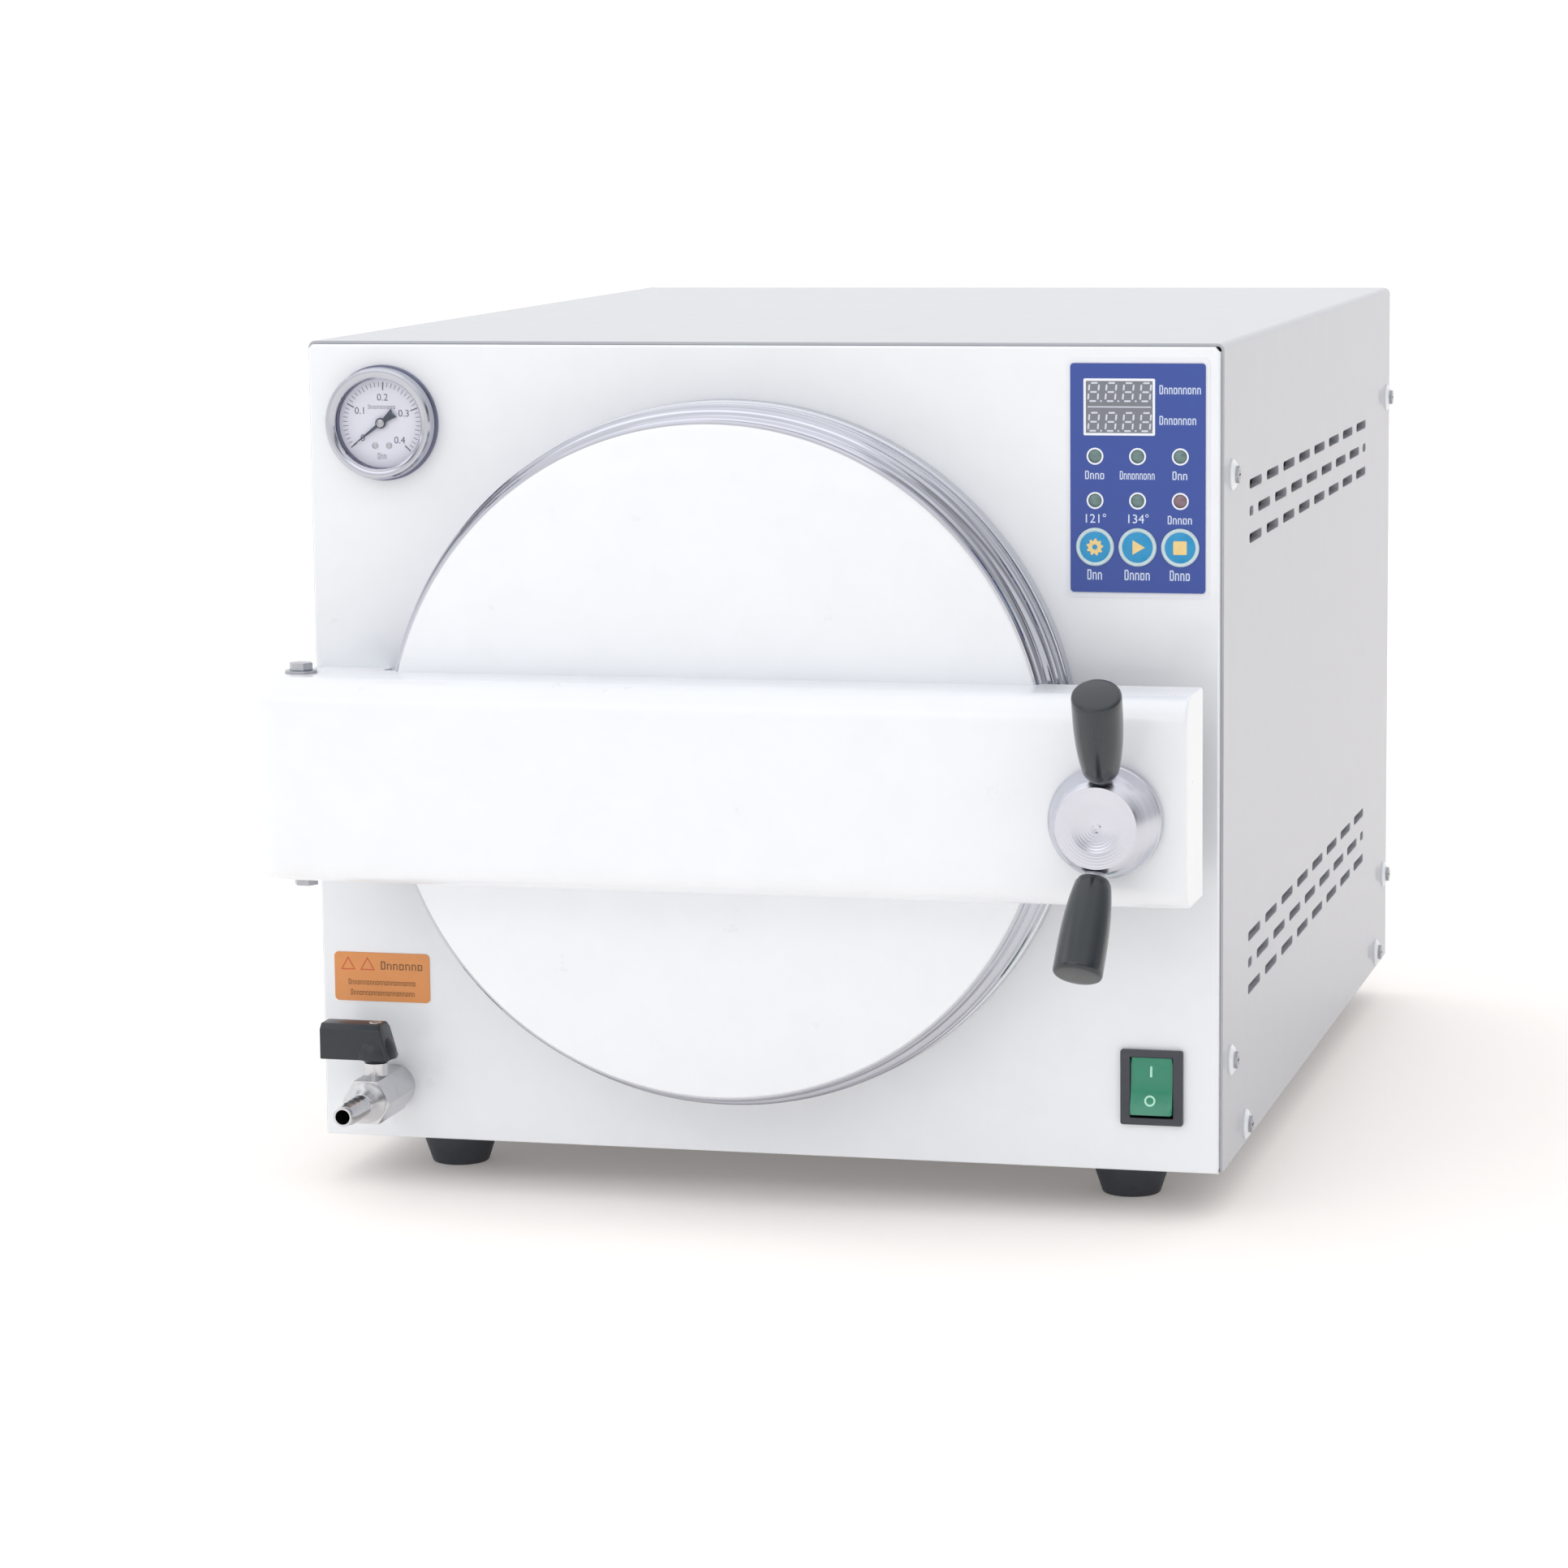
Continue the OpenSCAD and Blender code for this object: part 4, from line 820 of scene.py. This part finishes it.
# ---- gauge ----

def make_gauge():
    c = middle("gauge_bezel")
    make_bezel(c)
    lo, hi = box("gauge_lens")
    r = radius("gauge_lens")
    turned_piece("gauge_lens_form", c, [(0, lo.y), (r, lo.y), (r, hi.y), (0, hi.y)], 96,
                 "cabinet", "clear_glass", "gauge_lens", closed=False)
    make_dial(c)
    make_needle(c)


def make_bezel(c):
    lo, hi = box("gauge_bezel")
    r = radius("gauge_bezel")
    window = 19.2 * MM
    inside = 20.6 * MM
    bezel = in_mm([(0, 1.9), (0.2, 1.0), (0.9, 0.4)], window, lo.y)
    bezel += in_mm([(-2.2, 0), (-1.1, 0.15), (-0.35, 0.8), (0, 2.0)], r, lo.y)
    bezel += [(r, hi.y), (inside, hi.y), (inside, lo.y + 2.0 * MM)]
    turned_piece("gauge_bezel_form", c, bezel, 128, "cabinet", "polished_steel", "gauge_bezel", sharp=30)
    # The well's wall ring is finished in painted shade (painted_shade_grey), for the shadow on the inner
    # wall under the lens.
    well = in_mm([(19.3, 3.3), (20.3, 3.3)], 0, lo.y) + in_mm([(20.3, -0.85), (19.0, -0.85)], 0, hi.y)
    turned_piece("gauge_well_ring", c, well, 96, "cabinet", "polished_steel", finish="painted_shade_grey")


def radial_bar(bm, c, angle, r_in, r_out, width, y_front, y_back):
    """Adds a thin bar that points away from the dial's centre."""
    ray = Vector((math.cos(angle), math.sin(angle)))
    side = Vector((-ray.y, ray.x)) * width / 2
    base = Vector((c.x, c.z))
    corners = [base + ray * r_in - side, base + ray * r_out - side, base + ray * r_out + side,
               base + ray * r_in + side]
    slab(bm, [(p.x, p.y) for p in corners], y_front, y_back)


# The dial's scale runs clockwise over SWEEP degrees from ZERO, which is measured from the right.
ZERO = 217
SWEEP = 260


def make_dial(c):
    lo, hi = box("gauge_dial")
    r = radius("gauge_dial")
    hole = 1.16 * MM
    turned_piece("gauge_dial_form", c, [(hole, lo.y), (r, lo.y), (r, hi.y), (hole, hi.y)], 96,
                 "cabinet", "dial_white", "gauge_dial")
    dial_marks(c, lo.y)
    dial_words(c, lo.y)
    screws = bmesh.new()
    head = in_mm([(0, -0.5), (0.9, -0.45), (1.35, -0.2), (1.4, 0.02), (0, 0.02)], 0, lo.y)
    for x in (-3.1, 3.1):
        turn(screws, Vector((c.x + x * MM, 0, c.z - 9.6 * MM)), head, 24, False)
    piece_from("dial_screws", screws, "cabinet", "zinc_steel")


def dial_marks(c, y):
    bm = bmesh.new()
    divisions = 40
    end = 17.4 * MM
    for k in range(divisions + 1):
        angle = math.radians(ZERO - SWEEP * k / divisions)
        numbered = k % 10 == 0
        start = (14.0 if numbered else 15.0 if k % 5 == 0 else 15.4) * MM
        width = (0.5 if numbered else 0.22) * MM
        radial_bar(bm, c, angle, start, end, width, y - 0.06 * MM, y + 0.02 * MM)
    piece_from("dial_marks", bm, "cabinet", "dial_white", finish="print_dark")


def dial_words(c, y):
    signs = bmesh.new()
    word_marks(signs, c.x + 0.2 * MM, c.z + 6.9 * MM, 13, 1.9 * MM, y, 0.95 * MM)
    word_marks(signs, c.x, c.z - 14.0 * MM, 3, 2.6 * MM, y, 1.4 * MM)
    piece_from("dial_words", signs, "cabinet", "dial_white", finish="print_grey")
    r = 10.8 * MM
    words = []
    for k, text in enumerate(("0", "0.1", "0.2", "0.3", "0.4")):
        angle = math.radians(ZERO - SWEEP * k / 4)
        words.append((text, c.x + r * math.cos(angle), y - 0.03 * MM, c.z + r * math.sin(angle)))
    lettering("dial_numbers", words, 4.2 * MM, "cabinet", "dial_white", "print_dark")


def make_needle(c):
    """The pointer and its hub, and on them a small cap."""
    lo, hi = box("gauge_needle")
    half = [(-6.9, 0.0), (-7.5, -2.2), (-4.6, -1.5), (-1.6, -0.9), (15.4, -0.13)]
    pointer = half + [(u, -v) for u, v in reversed(half[1:])]
    angle = math.radians(ZERO)
    outline = []
    for u, v in pointer:
        x = u * math.cos(angle) - v * math.sin(angle)
        z = u * math.sin(angle) + v * math.cos(angle)
        outline.append((c.x + x * MM, c.z + z * MM))
    bm = bmesh.new()
    slab(bm, outline, lo.y + 0.1 * MM, lo.y + 0.5 * MM)
    hub = in_mm([(0, -0.1), (2.3, 0), (2.3, 0.6), (1.1, 0.6)], 0, lo.y)
    turn(bm, c, hub + [(1.1 * MM, hi.y), (0, hi.y)], 32, False)
    piece_from("needle_form", bm, "needle", "needle_black", "gauge_needle")
    cap = in_mm([(0, -0.75), (0.9, -0.65), (1.7, -0.3), (1.9, 0.1), (0, 0.1)], 0, lo.y)
    turned_piece("needle_cap", c, cap, 32, "needle", "needle_black", closed=False, finish="zinc_steel")


# ---- keypad ----

def key_centres():
    return [middle(node) for node in ("key_set", "key_start", "key_stop")]


def lamp_centres():
    """The six lamps, row by row from the top left."""
    lo, hi = box("indicator_leds")
    r = 2.7 * MM
    spots = []
    for z in (hi.z - r, lo.z + r):
        for key in key_centres():
            spots.append(Vector((key.x, lo.y, z)))
    return spots


# Strokes of four plain stand-ins for letters, as (x, z, width, height) in a letter's own box.
LETTERS = (
    ((0.14, 0.5, 0.2, 1.0), (0.74, 0.5, 0.2, 0.86), (0.44, 0.93, 0.5, 0.14), (0.44, 0.07, 0.5, 0.14)),
    ((0.14, 0.36, 0.2, 0.72), (0.74, 0.36, 0.2, 0.6), (0.44, 0.66, 0.5, 0.13), (0.44, 0.07, 0.5, 0.13)),
    ((0.14, 0.36, 0.2, 0.72), (0.74, 0.3, 0.2, 0.6), (0.44, 0.66, 0.5, 0.13)),
    ((0.3, 0.5, 0.2, 1.0), (0.44, 0.7, 0.6, 0.13)),
)


def word_marks(bm, x, z, count, height, y, pitch, left=False):
    """Adds a row of plain strokes that stands for a word of count letters."""
    start = x if left else x - pitch * count / 2
    for k in range(count):
        for u, v, w, h in LETTERS[0 if k == 0 else 1 + (k * k) % 3]:
            across = start + (k + u * 0.94) * pitch
            outline = rectangle(across, z + (v - 0.5) * height, w * pitch, h * height)
            slab(bm, outline, y - 0.05 * MM, y + 0.02 * MM)


def make_keypad():
    softened("keypad_overlay", "blue_film", 0.25, 2, 60)
    lo, hi = box("keypad_overlay")
    c = middle("keypad_overlay")
    w = hi.x - lo.x
    h = hi.z - lo.z
    border = bmesh.new()
    framed_slab(border, rectangle(c.x, c.z, w + 3.6 * MM, h + 4.2 * MM, 2.6 * MM),
                rectangle(c.x, c.z, w + 0.1 * MM, h + 0.1 * MM, 1.5 * MM),
                hi.y - 0.35 * MM, hi.y + 0.02 * MM)
    piece_from("keypad_border", border, "cabinet", "blue_film", finish="film_border")
    lamps = lamp_centres()
    keypad_words(lamps, lo.y)
    rings = bmesh.new()
    ring = in_mm([(2.78, -0.06), (3.5, -0.06), (3.5, 0.02), (2.78, 0.02)], 0, lo.y)
    for spot in lamps:
        turn(rings, spot, ring, 40)
    piece_from("lamp_rings", rings, "cabinet", "blue_film", finish="display_frame")
    numbers = [(text, spot.x, lo.y - 0.03 * MM, spot.z - 7.6 * MM)
               for text, spot in (("121°", lamps[3]), ("134°", lamps[4]))]
    lettering("keypad_numbers", numbers, 5.2 * MM, "cabinet", "blue_film", "print_white")
    make_lamps(lamps)
    make_display(lo.y)
    for node, icon in (("key_set", "gear"), ("key_start", "triangle"), ("key_stop", "square")):
        make_key(node, icon)
    softened("control_board", "board_green", 0.15, 1, 60)


def keypad_words(lamps, face):
    """Plain strokes below the lamps and the keys, and two rows beside the display."""
    bm = bmesh.new()
    small = 3.5 * MM
    for spot, count, pitch in zip(lamps, (4, 9, 3), (2.1, 1.65, 2.2)):
        word_marks(bm, spot.x, spot.z - 7.7 * MM, count, small, face, pitch * MM)
    word_marks(bm, lamps[5].x, lamps[5].z - 7.7 * MM, 5, small, face, 2.1 * MM)
    for key, count in zip(key_centres(), (3, 5, 4)):
        word_marks(bm, key.x, key.z - 11.4 * MM, count, 4.3 * MM, face, 2.2 * MM)
    lo, hi = box("display_module")
    for z, count in ((hi.z - 4.3 * MM, 9), (lo.z + 6.2 * MM, 8)):
        word_marks(bm, hi.x + 1.9 * MM, z, count, 3.7 * MM, face, 1.95 * MM, left=True)
    piece_from("keypad_words", bm, "cabinet", "blue_film", finish="print_white")


def make_lamps(lamps):
    """Six domed lamps on their legs; the last one is red."""
    lo, hi = box("indicator_leds")
    r = 2.7 * MM
    profile = []
    for k in range(7):
        a = math.pi / 2 * k / 6
        profile.append((r * math.sin(a), lo.y + 1.3 * MM * (1 - math.cos(a))))
    profile += in_mm([(2.7, 7.9), (0.8, 7.9)], 0, lo.y) + [(0.8 * MM, hi.y), (0, hi.y)]
    green = bmesh.new()
    for spot in lamps[:-1]:
        turn(green, spot, profile, 32, False)
    piece_from("lamps_green", green, "cabinet", "lamp_green", "indicator_leds")
    turned_piece("lamp_red", lamps[-1], profile, 32,
                 "cabinet", "lamp_green", closed=False, finish="lamp_red")


# The seven bars of a digit: (across, up) of a bar's middle in half widths and half heights from the
# digit's own middle, and 1 for an upright bar.
SEGMENTS = ((0, 1, 0), (-1, 0.5, 1), (1, 0.5, 1), (0, 0, 0), (-1, -0.5, 1), (1, -0.5, 1), (0, -1, 0))


def make_display(face):
    lo, hi = box("display_module")
    c = middle("display_module")
    w = hi.x - lo.x
    h = hi.z - lo.z
    glass = bmesh.new()
    slab(glass, rectangle(c.x, c.z, w, h), lo.y, hi.y)
    piece_from("display_form", glass, "cabinet", "display_grey", "display_module")
    rim = bmesh.new()
    framed_slab(rim, rectangle(c.x, c.z, w + 0.3 * MM, h + 0.3 * MM, 0.7 * MM),
                rectangle(c.x, c.z, w - 1.7 * MM, h - 1.7 * MM, 0.3 * MM), face - 0.12 * MM, face + 0.3 * MM)
    piece_from("display_rim", rim, "cabinet", "display_grey", finish="display_frame")
    digits = bmesh.new()
    front = lo.y - 0.05 * MM
    back = lo.y + 0.02 * MM
    tall = 7.4 * MM
    wide = 4.0 * MM
    point = 0.7 * MM
    for z in (hi.z - 1.7 * MM - tall / 2, lo.z + 1.7 * MM + tall / 2):
        for k in range(4):
            x = lo.x + (4.0 + 7.2 * k) * MM
            add_digit(digits, x, z, wide, tall, front, back)
            slab(digits, rectangle(x + wide / 2 + 1.1 * MM, z - tall / 2, point, point), front, back)
    slab(digits, rectangle(c.x, c.z, w - 3 * MM, 0.5 * MM), front, back)
    piece_from("display_digits", digits, "cabinet", "display_grey", finish="segment_pale")


def add_digit(bm, x, z, wide, tall, front, back):
    """Adds the seven bars of a display digit, leaning a little to the right."""
    tip = 0.75 * MM / 2
    gap = 1.0 * MM
    lean = 0.09
    for across, up, is_upright in SEGMENTS:
        half = ((tall / 2 if is_upright else wide) - gap) / 2
        cx = x + across * wide / 2
        cz = z + up * tall / 2
        bar = [(-half, 0), (-half + tip, -tip), (half - tip, -tip), (half, 0), (half - tip, tip),
               (-half + tip, tip)]
        if is_upright:
            bar = [(-v, u) for u, v in bar]
        slab(bm, [(cx + u + lean * (cz + v - z), cz + v) for u, v in bar], front, back)


def make_key(node, icon):
    """A round key: its rim on the stem, the coloured disc, and the sign on it."""
    body = NODES[node]["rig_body"]
    c = middle(node)
    r = radius(node)
    lo, hi = box(node)
    y = lo.y
    stem = 3 * MM
    bead = in_mm([(-1.5, 0.42), (-1.2, 0.1), (-0.9, 0), (-0.4, 0.05), (0, 0.5), (0, 3.2)], r, y)
    rim = [(0, y + 0.42 * MM)] + bead + [(stem, y + 3.2 * MM), (stem, hi.y), (0, hi.y)]
    turned_piece(node + "_rim", c, rim, 64, body, "key_cyan", node, closed=False, finish="key_rim")
    edge = in_mm([(-2.0, 0.22), (-1.55, 0.4), (-1.55, 0.5)], r, y)
    disc = [(0, y + 0.2 * MM)] + edge + [(0, y + 0.5 * MM)]
    turned_piece(node + "_disc", c, disc, 64, body, "key_cyan", closed=False)
    sign = bmesh.new()
    front = y + 0.1 * MM
    back = y + 0.3 * MM
    if icon == "square":
        slab(sign, rectangle(c.x, c.z, 5.6 * MM, 5.6 * MM, 0.4 * MM, 2), front, back)
    elif icon == "triangle":
        slab(sign, in_mm([(-2.0, -3.0), (3.2, 0), (-2.0, 3.0)], c.x, c.z), front, back)
    else:
        slab_gear(sign, c, front, back)
    piece_from(node + "_sign", sign, body, "key_cyan", finish="key_sand")


def slab_gear(bm, c, front, back):
    count = 4 * 9
    outer = []
    inner = []
    for k in range(count):
        a = 2 * math.pi * k / count
        r = 3.5 * MM if k % 4 in (0, 1) else 2.7 * MM
        outer.append((c.x + r * math.cos(a), c.z + r * math.sin(a)))
        inner.append((c.x + 1.1 * MM * math.cos(a), c.z + 1.1 * MM * math.sin(a)))
    framed_slab(bm, outer, inner, front, back)


# ---- switch and label ----

def make_switch():
    """The switch: its frame, and the paddle with two marks, pressed in at its upper end."""
    softened("switch_housing", "black_plastic", 0.35, 3, 40)
    c = middle("switch_housing")
    pivot = Vector((c.x, low("switch_housing").y + 4.2 * MM, c.z))
    pressed = Matrix.Rotation(math.radians(-8), 4, "X")
    tilt = Matrix.Translation(pivot) @ pressed @ Matrix.Translation(-pivot)
    half_w = 8.8 * MM
    half_h = 12 * MM

    def face_at(t):
        """The paddle's hollow face, with t from -1 at its lower end to 1 at its upper end."""
        shallow = 3.5 * MM
        deep = 5.19 * MM
        return pivot.y - (shallow + (deep - shallow) * t * t)

    count = 12
    outline = []
    for k in range(count + 1):
        t = -1 + 2 * k / count
        outline.append((face_at(t), c.z + half_h * t))
    outline += in_mm([(-1, 12), (3, 5), (3, -5), (-1, -12)], pivot.y, c.z)
    bm = bmesh.new()
    left = ring_of(bm, [(c.x - half_w, y, z) for y, z in outline])
    right = ring_of(bm, [(c.x + half_w, y, z) for y, z in outline])
    bridge(bm, left, right)
    bm.faces.new(left)
    bm.faces.new(list(reversed(right)))
    ends = [e for e in bm.edges if abs(e.verts[0].co.x - e.verts[1].co.x) < 1e-6]
    bevel(bm, ends, 0.7 * MM, 3)
    bm.transform(tilt)
    piece_from("rocker_form", bm, "power_rocker", "rocker_green", "rocker_paddle", sharp=50)
    marks = bmesh.new()
    stroke = rectangle(c.x - 0.2 * MM, c.z + 6.2 * MM, 0.95 * MM, 4.6 * MM, 0.4 * MM, 3)
    y = face_at(6.2 / 12)
    slab(marks, stroke, y - 0.45 * MM, y + 0.8 * MM)
    ring = in_mm([(1.55, -0.4), (2.35, -0.4), (2.35, 0.8), (1.55, 0.8)], 0, face_at(-6.0 / 12))
    turn(marks, Vector((c.x - 0.5 * MM, 0, c.z - 6.0 * MM)), ring, 40)
    marks.transform(tilt)
    piece_from("rocker_marks", marks, "power_rocker", "rocker_green", finish="rocker_mark")


def make_label():
    softened("label_plate", "label_orange", 0.1, 1, 60)
    face = low("label_plate").y
    c = middle("label_plate")
    words = bmesh.new()
    for x, z, count, height, pitch in ((9.2, 5.2, 7, 3.7, 2.8), (0, -2.3, 22, 2.5, 1.4),
                                       (0.2, -6.9, 21, 2.5, 1.4)):
        word_marks(words, c.x + x * MM, c.z + z * MM, count, height * MM, face, pitch * MM)
    piece_from("label_words", words, "cabinet", "label_orange", finish="print_brown")
    signs = bmesh.new()
    for x in (-15.4, -6.6):
        outer = triangle(c.x + x * MM, c.z + 4.9 * MM, 3.9 * MM)
        inner = triangle(c.x + x * MM, c.z + 4.9 * MM, 2.9 * MM)
        framed_slab(signs, outer, inner, face - 0.05 * MM, face + 0.02 * MM)
    piece_from("label_triangles", signs, "cabinet", "label_orange", finish="print_red")


def triangle(x, z, r):
    corners = [math.radians(a) for a in (90, 210, 330)]
    return [(x + r * math.cos(a), z + r * math.sin(a)) for a in corners]


# ---- drain valve ----

def make_valve():
    softened("drain_valve_body", "nickel", 0.3, 2, 35)
    make_barb()
    make_drain_lever()
    dress("drain_stem", "nickel")


def make_barb():
    """The hose barb: a collar, four ridges and the bore."""
    lo, hi = box("hose_barb")
    base = hi.y - 9 * MM
    bore = 3.2
    profile = [(4.1 * MM, hi.y)]
    profile += in_mm([(4.1, 0), (8.6, 0), (8.8, -0.5), (7.9, -1.6), (5.9, -3.4), (5.2, -6)], 0, base)
    for k in range(4):
        profile += in_mm([(4.2, 0), (4.9, -0.8), (4.8, -1.6), (4.2, -4.6)], 0, base - (7 + 5 * k) * MM)
    profile += in_mm([(4.1, 0.4), (3.8, 0), (bore, 0)], 0, lo.y)
    profile.append((bore * MM, hi.y))
    turned_piece("hose_barb_form", middle("hose_barb"), profile, 64,
                 "cabinet", "nickel", "hose_barb", sharp=40)


def make_drain_lever():
    """The lever: a chamfered bar with a slanted end, a boss below it and a rounded bulge over the stem."""
    lo, hi = box("drain_lever")
    stem = middle("drain_stem")
    base = lo.z + 1.6 * MM
    top = hi.z
    half = 7 * MM
    chamfer = 2.4 * MM
    right = stem.x + 8 * MM
    slope = (top - base) * math.tan(math.radians(16))
    section = [(-half, base), (-half, top - chamfer), (-half + chamfer, top), (half - chamfer, top),
               (half, top - chamfer), (half, base)]
    bm = bmesh.new()
    left_end = ring_of(bm, [(lo.x, stem.y + y, z) for y, z in section])
    slanted = [(right - (z - base) / (top - base) * slope, stem.y + y, z) for y, z in section]
    right_end = ring_of(bm, slanted)
    bridge(bm, left_end, right_end)
    bm.faces.new(left_end)
    bm.faces.new(list(reversed(right_end)))
    bmesh.ops.recalc_face_normals(bm, faces=bm.faces)
    bevel(bm, list(bm.edges), 0.6 * MM, 3)
    boss = in_mm([(0, 0), (4.8, 0), (6, 0.9)], 0, lo.z) + in_mm([(6.6, 0.5), (6.6, 1.5), (0, 1.5)], 0, base)
    upright(bm, stem, boss, 40, False)
    foot = base + 0.4 * MM
    bulge = [(0, foot)]
    for k in range(9):
        a = math.pi / 2 * k / 8
        bulge.append((9.2 * MM * math.cos(a) ** 0.5, foot + 9.4 * MM * math.sin(a)))
    upright(bm, stem, bulge, 48, False)
    piece_from("drain_lever_form", bm, "drain_handle", "lever_black", "drain_lever", sharp=45)
    screw = bmesh.new()
    head = in_mm([(0, -0.6), (1.4, -0.6), (1.6, 0.1), (2.6, 0.2), (3.0, -0.5), (0, -0.5)], 0, top)
    upright(screw, stem, head, 32, False)
    piece_from("lever_screw", screw, "drain_handle", "nickel")


# ---- the rest ----

# The CAD nodes that are shown as they are, by material.
DRESSED = {
    "zinc_steel": ("side_screws", "foot_screws", "chamber_saddles", "latch_keeper", "bar_core"),
    "white_paint": ("cup_washers",),
    "stainless": ("chamber_vessel", "element_cover", "tray_rack", "instrument_trays", "temperature_probe",
                  "pivot_bolt", "clamp_spindle", "safety_ring"),
    "fibre_wrap": ("insulation_jacket",),
    "element_steel": ("heating_element",),
    "copper": ("gauge_tube", "drain_pipe", "exhaust_pipe"),
    "nickel": ("exhaust_outlet",),
}


def make_rest():
    for slot, nodes in DRESSED.items():
        for node in nodes:
            dress(node, slot)
    softened("power_inlet", "black_plastic", 0.4, 2, 40)
    softened("fuse_holders", "black_plastic", 0.5, 2, 50)
    # The gauge case takes the same painted-shade grey as the well ring, darker than its own polished steel.
    softened("gauge_case", "polished_steel", 0.2, 1, 50, finish="painted_shade_grey")
    softened("solenoid_valve", "brass", 0.6, 2, 40)
    softened("safety_valve", "brass", 0.5, 2, 50)


bpy.context.scene.view_settings.view_transform = "Standard"
make_materials()
make_camera()
make_lights()
make_world()
make_floor()
make_case()
make_feet()
make_door_cover()
make_door_plate()
make_door_trim()
make_mouth()
make_gasket()
make_bar()
make_hinge()
make_knob()
make_levers()
make_gauge()
make_keypad()
make_switch()
make_label()
make_valve()
make_rest()
